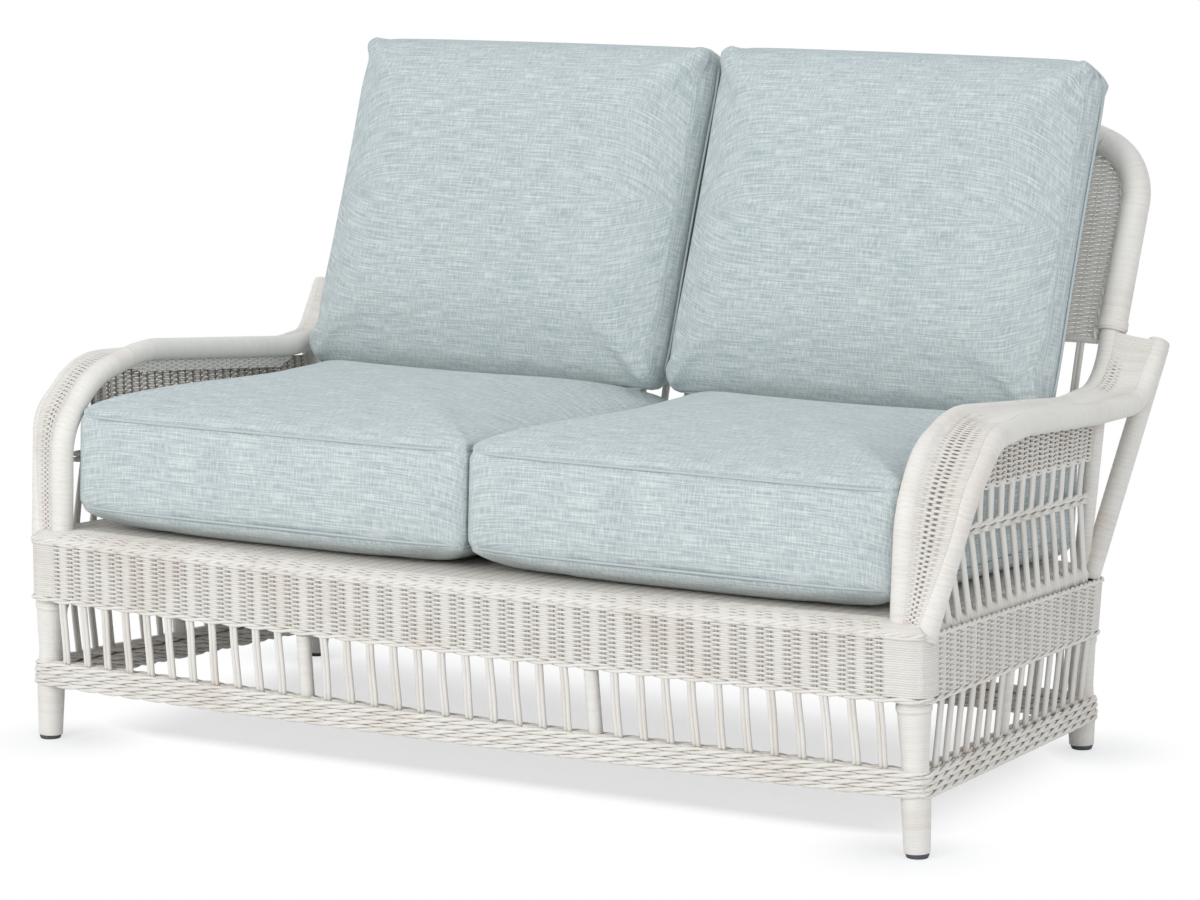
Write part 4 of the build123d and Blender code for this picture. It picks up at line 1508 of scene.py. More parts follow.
@dataclass
class Back:
    """Arched wrapped pole round a woven panel, on a row of reeds."""

    studio: Studio
    radius: float = 0.021
    foot_depth: float = 0.762
    foot_height: float = 0.594
    slope: Pair = (0.124, 0.314)
    normal: Point = (0.0, -0.9301, 0.3673)
    haunch: Points = ((0.645, 0.001, 0.0), (0.651, 0.258, 0.0), (0.500, 0.316, 0.0), (0.279, 0.3253, 0.0))
    haunch_bends: Pair = (0.092, 0.600)
    split: float = 0.300
    crown: Pair = (0.337, 0.3244)
    cuff_swell: float = 0.0016
    cuff: Tuple[Pair, Pair] = ((0.645, 0.6452), (0.004, 0.016))
    panel_span: Pair = (-0.014, 0.318)
    stake_pitch: float = 0.019
    row: float = 0.0034
    half_levels: Row = (-0.014, 0.129, 0.190, 0.230, 0.262, 0.288, 0.302, 0.318)
    halves: Row = (0.626, 0.634, 0.635, 0.628, 0.606, 0.566, 0.500, 0.250)
    stake_places: Row = (0.0, 0.250, 0.500, 0.566, 0.606, 0.628)
    stake_tops: Row = (0.318, 0.316, 0.302, 0.288, 0.262, 0.230)
    stake_end: float = 0.630
    rim_top: float = 0.262
    rim_inset: float = 0.004
    rim_lift: float = 0.004
    rim: Rope = Rope(helix=0.0022, strand=0.0028, pitch=0.03)
    hem: float = 0.0055
    hem_wrap: Wrap = Wrap(pitch=0.006, sides=10, ridge=0.0005, step=0.002)
    reed_half: float = 0.600
    reed_bays: int = 31
    reed_foot: float = 0.2723
    wrap: Wrap = Wrap(sides=24)
    weave: Weave = Weave(row=0.0034, samples=5, sides=4, stake_pit=0.15, behind_pit=0.1)

    def on_back(self, x: Numbers, up: Numbers, out: Numbers = 0.0) -> Array:
        """Point in the leaning plane of the back.

        Args:
            x: Distance from the middle.
            up: Distance up the slope from the arm ends.
            out: Distance in front of the plane.

        Returns:
            The point in plan metres.
        """
        away, high = self.slope
        rise = np.array([0.0, away, high]) / math.hypot(away, high)
        front = np.array([0.0, -high, away]) / math.hypot(away, high)
        x, up, out = np.broadcast_arrays(np.asarray(x, float), np.asarray(up, float), np.asarray(out, float))
        origin = np.array([0.0, self.foot_depth, self.foot_height])
        return origin + np.stack([x, x * 0, x * 0], axis=-1) + up[..., None] * rise + out[..., None] * front

    def build(self) -> None:
        """Build arch, panel and reeds."""
        flat = rounded_path(self.haunch, self.haunch_bends)
        haunch = flat[flat[:, 0] > self.split + 1e-4]
        post = Shape()
        self.wrap.cover(post, self.on_back(haunch[:, 0], haunch[:, 1]), self.normal, self.radius)
        self.wrap.cover(post, self.on_back(*np.array(self.cuff)), self.normal, self.radius + self.cuff_swell)
        self.studio.place_pair(post, "back_post")
        half = np.linspace(self.split, 0.0, 120)
        high, low = self.crown
        rise = high - (high - low) * (half / self.split) ** 2
        top = Shape()
        arch = self.on_back(np.concatenate([half, -half[::-1][1:]]), np.concatenate([rise, rise[::-1][1:]]))
        self.wrap.cover(top, arch, self.normal, self.radius)
        self.studio.place(top, "back_top_rail")
        self.panel()
        self.reeds()

    def panel(self) -> None:
        """Weave the panel inside the arch."""
        low, high = self.panel_span
        rows = int(round((high - low) / self.row))
        levels = low + (high - low) * (np.arange(rows) + 0.5) / rows
        half = np.interp(levels, self.half_levels, self.halves)

        def surface(stake: Array, level: Array) -> Tuple[Array, Array]:
            """Point and normal of the panel."""
            points = self.on_back(stake * self.stake_pitch, low + (high - low) * level)
            return points, np.broadcast_to(np.array(self.normal), points.shape)

        shape = Shape()
        self.weave.fill(shape, surface, rows, -half / self.stake_pitch, half / self.stake_pitch)
        last = int(self.stake_end / self.stake_pitch)
        away = np.abs(np.arange(-last, last + 1.0)) * self.stake_pitch
        tops = np.interp(away, self.stake_places, self.stake_tops)
        self.weave.stakes(shape, surface, -last, last + 1, high=(tops - low) / (high - low))
        rise = np.linspace(low, self.rim_top, 80)
        rim = np.interp(rise, levels, half) - self.rim_inset
        for sign in (-1.0, 1.0):
            self.rim.lay(shape, self.on_back(sign * rim, rise, self.rim_lift), self.normal)
        along = np.linspace(-self.halves[0], self.halves[0], 200)
        self.hem_wrap.cover(shape, self.on_back(along, low), self.normal, self.hem)
        self.studio.place(shape, "back_panel")

    def reeds(self) -> None:
        """Stand the reeds between the seat and the panel."""
        shape = Shape()
        reeds = Reeds(self.studio)
        chance = np.random.default_rng(9)
        for place in range(self.reed_bays + 1):
            x = self.reed_half * (2 * place / self.reed_bays - 1)
            foot = np.array([x, LAYOUT.depth, self.reed_foot])
            reeds.pair(shape, foot, self.on_back(x, self.panel_span[0]), BACKWARD, float(chance.random()))
        self.studio.place(shape, "back_reeds")


@dataclass(frozen=True)
class CushionForm:
    """Sizes of a stuffed cushion in its own plane, from its CAD solid."""

    half_width: float
    half_depth: float
    seams: Row
    low_crown: float
    box: float
    high_crown: float
    low_inset: float
    high_inset: float
    corner: float
    pull: float
    roundness: float = 2.0
    low_roundness: float = 2.0


@dataclass(frozen=True)
class Blow:
    """How the cloth of a cushion is blown up and evened out."""

    voxel: float = 0.006
    cap: float = 0.026
    quality: int = 4
    pressure: float = 4.0
    stretching: float = 12.0
    bending: float = 0.4
    frames: int = 20
    rounds: int = 14


class Cushion:
    """One stuffed cushion: its start form, its inflation and its seams."""

    insets = (0.985, 0.9, 0.8, 0.7, 0.6, 0.5, 0.4, 0.3, 0.2, 0.12, 0.07, 0.04, 0.02, 0.007, 0.0)
    side_points = 34
    corner_points = 9
    welt_radius = 0.0022
    welt_points = 900
    end_facing = 0.72

    def __init__(self, studio: Studio, node: str, origin: Point, up: Point, front: Point) -> None:
        """Take the cushion's own plane from its node.

        Args:
            studio: Shared materials.
            node: Name of the CAD node.
            origin: A point of the plane that the cushion lies on.
            up: Direction along the plane away from the seat front, or up the back.
            front: Direction of the thickness.
        """
        self.studio = studio
        self.node = node
        self.axes = np.array([[1.0, 0.0, 0.0], unit(np.array(up, float)), unit(np.array(front, float))])
        self.origin = np.array(origin) + np.array([0.0, LAYOUT.origin_shift, 0.0])
        local = (read(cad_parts[node].data.vertices, "co") - self.origin) @ self.axes.T
        low, high = local.min(axis=0), local.max(axis=0)
        middle = (low + high) / 2
        self.origin = self.origin + np.array([middle[0], middle[1], low[2]]) @ self.axes
        self.half = (high - low) / 2

    def outline(self, width: float, depth: float, corner: float, pull: float) -> Array:
        """Rounded rectangle whose sides are pulled in between its corners.

        Args:
            width: Half width.
            depth: Half depth.
            corner: Radius of the corners.
            pull: How far the middle of a side is pulled in.

        Returns:
            Its points in the cushion's plane.
        """
        corner = max(min(corner, width * 0.98, depth * 0.98), 0.001)
        points = []
        for start, sx, sy in ((0, 1, 1), (1, -1, 1), (2, -1, -1), (3, 1, -1)):
            for angle in np.linspace(start * math.pi / 2, (start + 1) * math.pi / 2, self.corner_points):
                points.append((sx * (width - corner) + corner * math.cos(angle),
                               sy * (depth - corner) + corner * math.sin(angle), 0.0))
        loop = resampled(np.array(points + points[:1]), 4 * self.side_points + 1)[:-1]
        x, y = loop[:, 0] / width, loop[:, 1] / depth
        loop[:, 0] -= np.sign(x) * pull * (1 - np.clip(np.abs(y), 0, 1) ** 2) * np.abs(x) ** 6
        loop[:, 1] -= np.sign(y) * pull * (1 - np.clip(np.abs(x), 0, 1) ** 2) * np.abs(y) ** 6
        return loop[:, :2]

    def start(self, form: CushionForm) -> Mesh:
        """Closed start form, lofted through outlines up its thickness.

        Args:
            form: Sizes of the cushion.

        Returns:
            The mesh, in the cushion's plane.
        """
        reach = min(form.half_width, form.half_depth)
        insets = [share * reach for share in self.insets]
        low = [(form.low_crown * (1 - self.dome(inset / form.low_inset, form.low_roundness)), inset)
               for inset in insets]
        high = [(form.low_crown + form.box
                 + form.high_crown * self.dome(inset / form.high_inset, form.roundness), inset)
                for inset in insets[::-1]]
        rings = []
        for height, inset in low + high:
            loop = self.outline(form.half_width - inset, form.half_depth - inset, form.corner,
                                form.pull * max(0.0, 1 - inset / 0.15))
            rings.append(np.concatenate([loop, np.full((len(loop), 1), height)], axis=1))
        count, last = len(rings[0]), len(rings) - 1
        faces = [(level * count + place, level * count + (place + 1) % count,
                  (level + 1) * count + (place + 1) % count, (level + 1) * count + place)
                 for level in range(last) for place in range(count)]
        faces.append(tuple(range(count))[::-1])
        faces.append(tuple(range(last * count, (last + 1) * count)))
        mesh = bpy.data.meshes.new(self.node + "_start")
        mesh.from_pydata([tuple(point) for point in np.concatenate(rings)], [], faces)
        mesh.update()
        return mesh

    @staticmethod
    def dome(share: float, roundness: float) -> float:
        """Height of a crown at a share of the way in from its seam; a larger roundness is boxier."""
        left = 1.0 - min(share, 1.0)
        return (1.0 - left ** roundness) ** (1.0 / roundness)

    def inflate(self, form: CushionForm, blow: Blow) -> Mesh:
        """Blow the start form up as cloth and take the result.

        Args:
            form: Sizes of the cushion.
            blow: How it is blown up.

        Returns:
            The blown-up mesh in the cushion's plane, subdivided once.
        """
        piece = linked(self.node + "_blow", self.start(form))
        remesh = piece.modifiers.new("even", "REMESH")
        remesh.mode = "VOXEL"
        remesh.voxel_size = blow.voxel
        self.take(piece)
        points = read(piece.data.vertices, "co")
        move = self.blown(piece, points, form, blow)
        points = self.settle(points, self.eased(piece.data, move, blow.rounds))
        self.write(piece.data, points)
        piece.modifiers.new("fine", "SUBSURF").levels = 1
        self.take(piece)
        result = piece.data
        bpy.data.objects.remove(piece)
        return result

    def blown(self, piece: Object, points: Array, form: CushionForm, blow: Blow) -> Array:
        """Run the cloth simulation, with the seams held.

        Args:
            piece: The remeshed start form.
            points: Its vertices.
            form: Sizes of the cushion.
            blow: How it is blown up.

        Returns:
            How far each vertex moves, at most as far as the cap.
        """
        pins = piece.vertex_groups.new(name="seam")
        rim = np.maximum(np.abs(points[:, 0]) - form.half_width, np.abs(points[:, 1]) - form.half_depth)
        for level in form.seams:
            near = (np.abs(points[:, 2] - level) < blow.voxel) & (rim > -(form.pull + 1.6 * blow.voxel))
            pins.add([int(place) for place in np.nonzero(near)[0]], 1.0, "REPLACE")
        cloth = piece.modifiers.new("cloth", "CLOTH")
        for name, value in (("quality", blow.quality), ("use_pressure", True),
                            ("uniform_pressure_force", blow.pressure), ("tension_stiffness", blow.stretching),
                            ("compression_stiffness", blow.stretching), ("bending_stiffness", blow.bending),
                            ("vertex_group_mass", "seam")):
            setattr(cloth.settings, name, value)
        cloth.settings.effector_weights.gravity = 0.0
        cloth.point_cache.frame_start, cloth.point_cache.frame_end = 1, blow.frames
        for number in range(1, blow.frames + 1):
            bpy.context.scene.frame_set(number)
        move = read(piece.evaluated_get(bpy.context.evaluated_depsgraph_get()).data.vertices, "co") - points
        piece.modifiers.remove(cloth)
        bpy.context.scene.frame_set(1)
        far = np.linalg.norm(move, axis=1, keepdims=True)
        log.info("%s: cloth moved up to %.1f mm", self.node, far.max() * 1000)
        return move * np.minimum(1.0, blow.cap / np.maximum(far, 1e-9))

    @staticmethod
    def take(piece: Object) -> None:
        """Replace a piece's mesh by what its modifiers make of it.

        Args:
            piece: The piece.
        """
        bpy.context.view_layer.update()
        mesh = bpy.data.meshes.new_from_object(piece.evaluated_get(bpy.context.evaluated_depsgraph_get()))
        piece.modifiers.clear()
        piece.data = mesh

    @staticmethod
    def write(mesh: Mesh, points: Array) -> None:
        """Set the vertices of a mesh."""
        mesh.vertices.foreach_set("co", points.astype(np.float32).ravel())
        mesh.update()

    def lay_threads(self, mesh: Mesh, points: Array, split: float) -> None:
        """Keep where the cloth's threads run: along the width and over the edge, or round the ends.

        Args:
            mesh: Mesh of the cushion.
            points: Its vertices in its own plane.
            split: Height of the seam at which one cloth ends and the other begins.
        """
        sizes = read(mesh.polygons, "loop_total", 1, np.int32)
        end = np.repeat(np.abs(read(mesh.polygons, "normal")[:, 0]) > self.end_facing, sizes)
        place = points[read(mesh.loops, "vertex_index", 1, np.int32)]
        starts = np.concatenate([[0], np.cumsum(sizes)[:-1]])
        along, level = (np.add.reduceat(place[:, axis], starts) / sizes for axis in (1, 2))
        fold = np.repeat(np.where((along > 0.0) == (level > split), -1.0, 1.0), sizes)
        own_cloth = 5.0
        wide = np.where(end, place[:, 1] + own_cloth, place[:, 0])
        deep = np.where(end, place[:, 2] + own_cloth, place[:, 1] + fold * place[:, 2])
        threads = np.stack([wide, deep, wide * 0.0], axis=1)
        mesh.attributes.new("cloth", "FLOAT_VECTOR", "CORNER")
        mesh.attributes["cloth"].data.foreach_set("vector", threads.astype(np.float32).ravel())

    @staticmethod
    def eased(mesh: Mesh, move: Array, rounds: int) -> Array:
        """Even out a displacement over a mesh, so that the bulge stays and the creases go.

        Args:
            mesh: The mesh.
            move: Displacement of each vertex.
            rounds: How often each vertex takes on half of what its neighbours do.

        Returns:
            The displacement, evened out.
        """
        first, second = read(mesh.edges, "vertices", 2, np.int32).T
        count = np.bincount(first, minlength=len(move)) + np.bincount(second, minlength=len(move))
        for _ in range(rounds):
            total = np.stack([np.bincount(first, move[second, axis], len(move))
                              + np.bincount(second, move[first, axis], len(move))
                              for axis in range(3)], axis=1)
            move = 0.5 * move + 0.5 * total / np.maximum(count, 1)[:, None]
        return move

    def settle(self, points: Array, move: Array) -> Array:
        """Apply a displacement as far as the room of the solid lets it go.

        Args:
            points: Vertices before.
            move: Displacement of each.

        Returns:
            The vertices after.
        """
        away = points - np.array([0.0, 0.0, self.half[2]])
        out = move * np.sign(away)
        for axis in range(3):
            over = (out[:, axis] > 1e-6) & (np.abs(away[:, axis]) + out[:, axis] > self.half[axis])
            if axis == 2:
                over &= away[:, 2] > 0.0
            if over.any():
                room = (self.half[axis] - np.abs(away[over, axis])) / out[over, axis]
                move[:, axis] *= max(0.0, float(room.min()))
        settled = points + move
        settled[:, 2] = np.maximum(settled[:, 2], 0.0)
        return settled

    @staticmethod
    def welt_on(loop: Array, level: float, points: Array, reach: float = 0.005) -> Array:
        """Lay a seam line on the body that it belongs to.

        Args:
            loop: Planned line of the seam, in the cushion's plane.
            level: Its height over that plane.
            points: Vertices of the body.
            reach: How far over and under that height the body is read.

        Returns:
            The seam, evened out, with its height.
        """
        rim = np.abs(points[:, :2]).max(axis=0) * 0.8
        near = np.abs(points[:, 2] - level) < reach
        near &= (np.abs(points[:, 0]) > rim[0]) | (np.abs(points[:, 1]) > rim[1])
        ring = points[near]
        line = np.zeros((len(loop), 3))
        for place, spot in enumerate(loop):
            away = np.hypot(ring[:, 0] - spot[0], ring[:, 1] - spot[1])
            closest = np.argsort(away, kind="stable")[:8]
            line[place, :2] = ring[closest, :2].mean(axis=0)
        for _ in range(3):
            line = (np.roll(line, 1, axis=0) + 2 * line + np.roll(line, -1, axis=0)) / 4
        line[:, 2] = level
        line[:, :2] *= 1.0015
        return line

    @staticmethod
    def creased(mesh: Mesh, points: Array, levels: Sequence[float], depth: float,
                width: float) -> Array:
        """Draw the body in where its seams run.

        Args:
            mesh: Mesh of the body, for the way that it faces.
            points: Its vertices in its own plane.
            levels: Heights of the seams.
            depth: How far it is drawn in.
            width: Half width of the crease.

        Returns:
            The vertices with the creases.
        """
        facing = read(mesh.vertices, "normal")
        drawn = points.copy()
        for level in levels:
            pull = depth * np.exp(-((points[:, 2] - level) / width) ** 2)
            drawn[:, :2] -= facing[:, :2] * pull[:, None]
        return drawn

    def finish(self, mesh: Mesh, points: Array, welts: List[Array], split: float,
               fill: float) -> None:
        """Put the cushion on the frame with its seams.

        Args:
            mesh: Mesh of the cushion, whose vertices are replaced.
            points: Its vertices in its own plane.
            welts: Closed seam lines in the same plane.
            split: Height of the seam at which one cloth ends and the other begins.
            fill: How tightly it is stuffed, from 0 to 1; not used.
        """
        self.write(mesh, points @ self.axes + self.origin)
        mesh.polygons.foreach_set("use_smooth", np.ones(len(mesh.polygons), bool))
        self.lay_threads(mesh, points, split)
        piece = self.dressed(f"{self.node}_stuffed", mesh)
        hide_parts(self.node)
        for number, welt in enumerate(welts, 1):
            shape = Shape()
            loop = np.concatenate([welt, welt[:2]]) @ self.axes + self.origin
            loop = loop - np.array([0.0, LAYOUT.origin_shift, 0.0])
            shape.strands(resampled(loop, self.welt_points), self.axes[2], self.welt_radius, self.welt_radius)
            name = f"{self.node}_seam_{number}"
            self.dressed(name, shape.mesh(name))

    def dressed(self, name: str, mesh: Mesh) -> Object:
        """Put a piece of this cushion on its body, in the cushion cloth.

        Args:
            name: Name of the piece.
            mesh: Its mesh.

        Returns:
            The piece.
        """
        piece = linked(name, mesh)
        mesh.materials.clear()
        mesh.materials.append(self.studio.fabric)
        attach(piece, self.node)
        log.info("%s: %d faces", name, len(mesh.polygons))
        return piece


def share_of(values: Array, low: float, high: float) -> Array:
    """How far values lie from low to high, held between 0 and 1."""
    return held((values - low) / (high - low))


@dataclass
class Cushions:
    """Two boxed seat cushions and two knife-edged back cushions."""

    studio: Studio
    blow: Blow = Blow()
    seat_height: float = 0.310
    seat_slope: Pair = (0.663, 0.033)
    seat_room: float = 0.004
    seat_seam: float = 0.034
    seat_box: float = 0.132
    seat_fill: float = 0.85
    fold_width: float = 0.008
    fold_length: float = 0.070
    fold_depth: float = 0.020
    sag: float = 0.011
    sag_reach: float = 0.09
    top_drop: float = 0.002
    left_drop: float = 0.006
    left_tilt: float = 0.4
    rear_lift: float = 0.010
    rear_start: float = 0.3
    widening: float = 0.009
    front_bulge: float = 0.017
    side_fill: float = 0.006
    crease: float = 0.0034
    crease_width: float = 0.0055
    back_crease: float = 0.0018
    soft_right: float = 0.070
    soft_left: float = 0.035
    soft_share: float = 0.25
    inner_fill: float = 0.006
    belly_lift: float = 0.75
    middle_room: float = 0.0008
    arm_room: float = 0.0010
    weave_room: float = 0.0017
    welt_room: Pair = (0.0025, 0.0022)
    back_foot: Pair = (0.762, 0.594)
    back_slope: Pair = (0.124, 0.314)
    back_room: float = 0.002
    back_crowns: Pair = (0.052, 0.042)
    back_fill: float = 0.8

    def build(self) -> None:
        """Build all four; each pair is blown up once and mirrored."""
        self.seats()
        self.backs()

    def both(self, kind: str, origin: Point, up: Point, front: Point) -> Dict[Side, Cushion]:
        """The cushions of both sides, before they have a mesh."""
        return {side: Cushion(self.studio, f"{kind}_cushion_{side.name.lower()}", origin, up, front)
                for side in Side}

    @staticmethod
    def sided(mesh: Mesh, side: Side) -> Tuple[Mesh, Array]:
        """A copy of the right cushion's mesh for one side.

        Args:
            mesh: Mesh of the right cushion.
            side: Which side.

        Returns:
            The copy, and what its vertices are multiplied by.
        """
        own = mesh.copy()
        if side is Side.LEFT:
            own.flip_normals()
        return own, np.array([side.value, 1.0, 1.0])

    def filled_out(self, x: Array, half: float) -> Array:
        """Widen a seat cushion towards the arm and towards its neighbour."""
        wide = x + self.widening * (x / half + 1.0) / 2.0
        return wide - self.inner_fill * (1.0 - wide / half) / 2.0

    def seats(self) -> None:
        """Boxed seat cushions with a seam round the top and the bottom."""
        deep, drop = self.seat_slope
        seats = self.both("seat", (0.0, 0.0, self.seat_height), (0.0, deep, -drop), (0.0, drop, deep))
        right = seats[Side.RIGHT]
        half = right.half
        form = CushionForm(half_width=half[0] - self.seat_room, half_depth=half[1] - self.seat_room,
                           seams=(self.seat_seam, self.seat_seam + self.seat_box), low_crown=self.seat_seam,
                           box=self.seat_box, high_crown=0.046, low_inset=0.055, high_inset=0.180,
                           corner=0.008, pull=0.003, low_roundness=3.0)
        mesh = right.inflate(form, self.blow)
        points = read(mesh.vertices, "co")
        low_seam, high_seam = form.seams
        rear = held(points[:, 1] / half[1] - self.rear_start)
        points[:, 2] += self.rear_lift * share_of(points[:, 2], low_seam, high_seam) * rear
        points[:, 2] = np.minimum(points[:, 2], 2 * half[2])
        points[:, 0] = np.clip(self.filled_out(points[:, 0], half[0]), self.middle_room - half[0],
                               self.arm_room + half[0])
        ahead = held(-points[:, 1] / half[1])
        across = held(np.abs(points[:, 0]) / half[0])
        points[:, 1] -= self.front_bulge * ahead ** 2 * (1.0 - across ** 5)
        ahead = held(-points[:, 1] / half[1])
        belly = np.minimum(points[:, 2] - low_seam, 0.0)
        points[:, 2] -= belly * self.belly_lift * across ** 4 * ahead ** 4
        points[:, 2] = np.maximum(points[:, 2], self.weave_room)
        loop = right.outline(form.half_width, form.half_depth, form.corner, form.pull)
        loop[:, 0] = self.filled_out(loop[:, 0], half[0])
        creased = right.creased(mesh, points, form.seams, self.crease, self.crease_width)
        for side, cushion in seats.items():
            own, flip = self.sided(mesh, side)
            welts = [cushion.welt_on(loop, level, points) for level in form.seams]
            for welt in welts:
                welt[:, 0] = np.clip(welt[:, 0], self.welt_room[0] - half[0],
                                     half[0] + self.arm_room - self.welt_room[1])
                welt *= flip
            cushion.finish(own, creased * flip, welts, low_seam, self.seat_fill)

    def pressed(self, points: Array, half: Array) -> Array:
        """Fold the lower corners of a back cushion in, let it sag onto the seat and fill its sides.

        Args:
            points: Vertices of the cushion.
            half: Half sizes of its solid.

        Returns:
            The vertices after.
        """
        tucked = points.copy()
        for sign in (-1.0, 1.0):
            beside, above = half[0] - sign * points[:, 0], points[:, 1] + half[1]
            along, across = (beside + above) / math.sqrt(2.0), (beside - above) / math.sqrt(2.0)
            fold = np.exp(-(across / self.fold_width) ** 2) * held(1.0 - along / self.fold_length)
            upper = np.clip(points[:, 2] / (2 * half[2]) - 0.5, -0.5, 0.5) * 2.0
            tucked[:, 2] -= fold * upper * self.fold_depth
        low = held((self.sag_reach - half[1] - tucked[:, 1]) / self.sag_reach) ** 2
        high = share_of(tucked[:, 1], -half[1], half[1]) ** 2
        sunk = tucked.copy()
        sunk[:, 1] -= self.sag * low * held(tucked[:, 2] / half[2])
        sunk[:, 1] -= self.top_drop * high
        wide, tall = tucked[:, 0] / half[0], tucked[:, 1] / half[1]
        sunk[:, 0] += self.side_fill * wide * np.abs(wide) * held(1.0 - tall ** 6)
        sunk[:, 1] += self.side_fill * tall * np.abs(tall) * held(1.0 - wide ** 2)
        sunk[:, 0] = np.clip(sunk[:, 0], -half[0], half[0])
        return sunk

    def softened(self, points: Array, half: Array, side: Side) -> Array:
        """Round the upper corner of a back cushion that lies on one side.

        Args:
            points: Vertices of the cushion.
            half: Half sizes of its solid.
            side: Which side the cushion belongs to.

        Returns:
            The vertices after.
        """
        sign, radius = float(side.value), self.soft_left if side is Side.LEFT else self.soft_right
        soft = points.copy()
        beyond = np.stack([sign * points[:, 0] - (half[0] - radius),
                           points[:, 1] - (half[1] - radius)], axis=1)
        far = np.linalg.norm(beyond, axis=1)
        over = (beyond > 0.0).all(axis=1) & (far > radius)
        ease = (radius + self.soft_share * (far[over] - radius)) / far[over] - 1.0
        soft[over, 0] += sign * beyond[over, 0] * ease
        soft[over, 1] += beyond[over, 1] * ease
        return soft

    def backs(self) -> None:
        """Knife-edged back cushions with one seam all round."""
        away, high = self.back_slope
        backs = self.both("back", (0.0, *self.back_foot), (0.0, away, high), (0.0, -high, away))
        right = backs[Side.RIGHT]
        half = right.half
        thick = 2 * half[2]
        low_crown, high_crown = self.back_crowns
        form = CushionForm(half_width=half[0] - self.back_room, half_depth=half[1] - self.back_room,
                           seams=(thick * 0.5,), low_crown=low_crown, box=thick - 2 * low_crown,
                           high_crown=high_crown, low_inset=0.170, high_inset=0.230, corner=0.026, pull=0.004,
                           roundness=2.1)
        mesh = right.inflate(form, self.blow)
        points = self.pressed(read(mesh.vertices, "co"), half)
        for side, cushion in backs.items():
            own, flip = self.sided(mesh, side)
            stuffed = points.copy()
            if side is Side.LEFT:
                up = share_of(points[:, 1], -half[1], half[1]) ** 2
                stuffed[:, 1] -= self.left_drop * up * (1.0 + self.left_tilt * points[:, 0] / half[0])
            stuffed = self.softened(stuffed, half, side)
            loop = cushion.outline(form.half_width, form.half_depth, form.corner, form.pull)
            welt = cushion.welt_on(loop, form.seams[0], stuffed) * flip
            creased = cushion.creased(mesh, stuffed, form.seams, self.back_crease, self.crease_width)
            cushion.finish(own, creased * flip, [welt], form.seams[0], self.back_fill)


@dataclass
class SeatFrame:
    """CAD nodes that stay as they are, under finishes of their own."""

    wicker: WickerFinish
    glide: GlideFinish
    turn: float = 0.004
    deck_row: float = 0.006
    deck_stake: float = 0.019

    def build(self) -> None:
        """Dress the tubes under the seat, the deck and the feet."""
        cross = self.wicker.build_wrapped("wicker_wrapped_across", 0, self.turn)
        deep = self.wicker.build_wrapped("wicker_wrapped_deep", 1, self.turn)
        deck = self.wicker.build_sheet("wicker_deck", self.deck_row, self.deck_stake)
        plastic = self.glide.build()
        dress = {"seat_front_tube": cross, "seat_rear_tube": cross, "seat_cross_tubes": deep,
                 "seat_deck": deck}
        for side in ("right", "left"):
            dress[f"seat_side_tube_{side}"] = deep
            dress[f"front_glide_{side}"] = plastic
            dress[f"rear_glide_{side}"] = plastic
        for name, material in dress.items():
            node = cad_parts[name]
            node.data.materials.clear()
            node.data.materials.append(material)
            log.info("%s: dressed with %s", name, material.name)


@dataclass(frozen=True)
class Lamp:
    """A square soft light."""

    name: str
    place: Point
    size: float
    power: float
    tint: Point


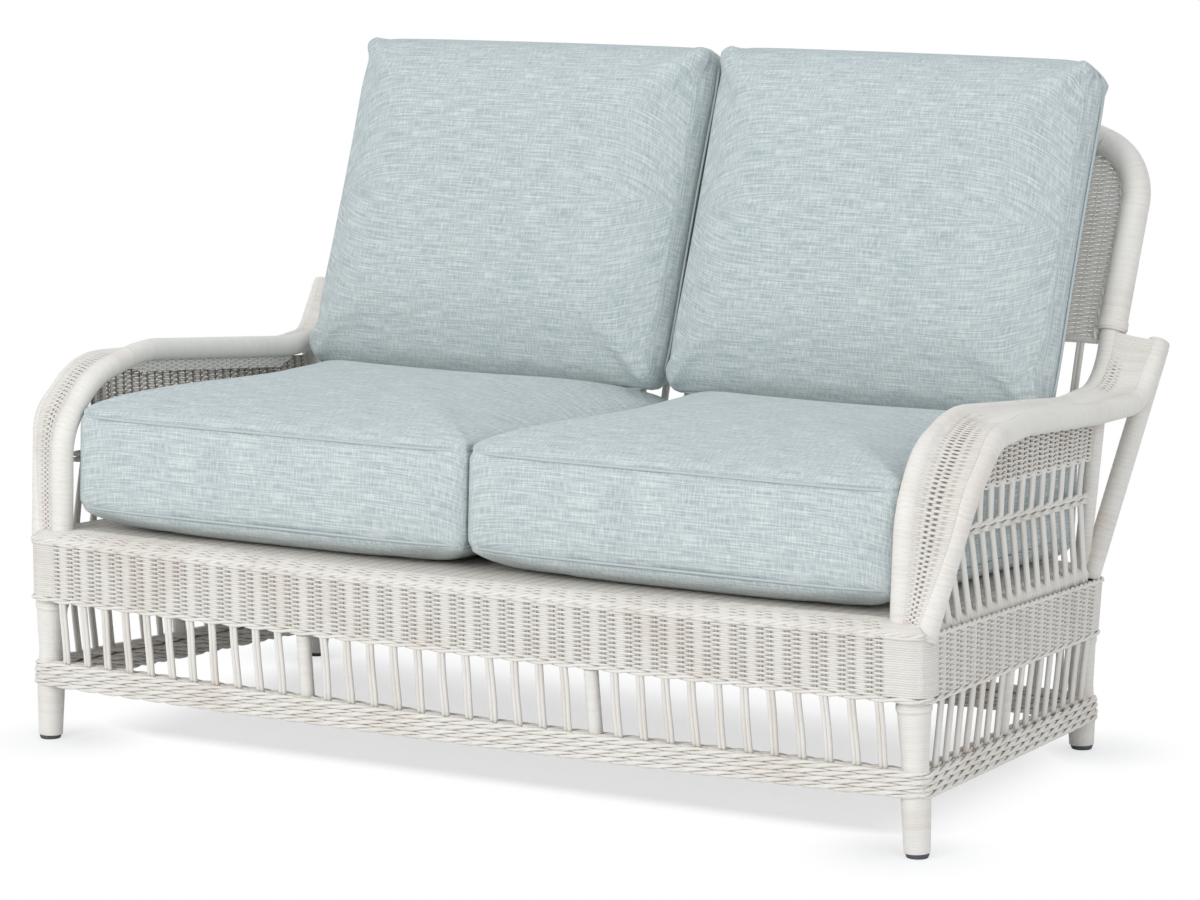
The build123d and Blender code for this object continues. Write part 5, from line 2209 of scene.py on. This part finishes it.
@dataclass
class PhotoRoom:
    """Floor, lights and camera."""

    lens: float = 124.71
    film: float = 36.0
    far: float = 60.0
    place: Point = (2.825, -5.2365, 1.418)
    yaw: float = math.radians(28.44)
    pitch: float = math.radians(9.54)
    roll: float = math.radians(0.10)
    floor_half: float = 14.0
    sky: Colour = (0.92, 0.96, 1.0, 1.0)
    sky_strength: float = 0.66
    aim: Point = (0.0, 0.0, 0.45)
    lamps: Tuple[Lamp, ...] = (Lamp("key", (-1.0, -4.4, 2.6), 2.4, 92.0, (1.0, 1.0, 1.0)),
                               Lamp("fill", (3.6, -2.0, 2.0), 2.6, 27.0, (0.97, 0.985, 1.0)),
                               Lamp("top", (0.0, 0.4, 3.8), 3.0, 17.0, (0.80, 0.90, 1.0)))

    def build(self) -> None:
        """Build the camera, the floor, the world and the lamps."""
        self.camera()
        self.floor()
        self.world()
        self.light()
        bpy.context.scene.view_settings.view_transform = "Standard"

    def camera(self) -> None:
        """Stand the camera where the photograph was taken."""
        level = math.cos(self.pitch)
        ahead = np.array([-math.sin(self.yaw) * level, math.cos(self.yaw) * level, -math.sin(self.pitch)])
        right = unit(np.cross(ahead, UP))
        up = np.cross(right, ahead)
        turned = math.cos(self.roll) * right + math.sin(self.roll) * up
        raised = -math.sin(self.roll) * right + math.cos(self.roll) * up
        data = bpy.data.cameras.new("camera")
        data.lens, data.sensor_width, data.clip_end = self.lens, self.film, self.far
        camera = linked("camera", data)
        rotation = Matrix([turned, raised, -ahead]).transposed().to_4x4()
        camera.matrix_world = Matrix.Translation(Vector(self.place)) @ rotation
        bpy.context.scene.camera = camera

    def floor(self) -> None:
        """Lay the floor."""
        size = self.floor_half
        mesh = bpy.data.meshes.new("studio_floor")
        mesh.from_pydata([(-size, -size, 0.0), (size, -size, 0.0), (size, size, 0.0), (-size, size, 0.0)], [],
                         [(0, 1, 2, 3)])
        mesh.materials.append(FloorFinish().build())
        linked("studio_floor", mesh)

    def world(self) -> None:
        """Light the room softly from all sides, and show white behind the object."""
        world = bpy.data.worlds.new("room")
        bpy.context.scene.world = world
        shader = Shader(world.name, world)
        seen = shader.field("ShaderNodeBackground", 0, None, {"Color": WHITE, "Strength": 1.0})
        lit = shader.field("ShaderNodeBackground", 0, None,
                           {"Color": self.sky, "Strength": self.sky_strength})
        camera, glossy, through = shader.ray("Camera", "Glossy", "Transmission")
        share = shader.field("ShaderNodeMath", 0, {"operation": "ADD", "use_clamp": True},
                             {0: camera + glossy, 1: through})
        shader.close(shader.field("ShaderNodeMixShader", 0, None, {0: share, 1: lit, 2: seen}))

    def light(self) -> None:
        """Hang the lamps, each turned to the middle of the seat."""
        for lamp in self.lamps:
            data = bpy.data.lights.new(lamp.name, "AREA")
            data.shape, data.size, data.energy, data.color = "SQUARE", lamp.size, lamp.power, lamp.tint
            hung = linked(lamp.name, data)
            hung.location = lamp.place
            hung.rotation_euler = (Vector(self.aim) - Vector(lamp.place)).to_track_quat("-Z", "Y").to_euler()


def main() -> None:
    """Build every piece in order."""
    logging.basicConfig(level=logging.INFO, format="%(name)s: %(message)s")
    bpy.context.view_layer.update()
    wicker = WickerFinish()
    studio = Studio(wicker.build(), FabricFinish().build())
    PhotoRoom().build()
    SeatFrame(wicker, GlideFinish()).build()
    Legs(studio).build()
    BottomRail(studio).build()
    reeds = Reeds(studio)
    reeds.cross_gallery(Part.FRONT)
    reeds.cross_gallery(Part.REAR)
    reeds.side_galleries()
    Aprons(studio).build()
    Arms(studio).build()
    Back(studio).build()
    Cushions(studio).build()


if __name__ == "__main__":
    main()
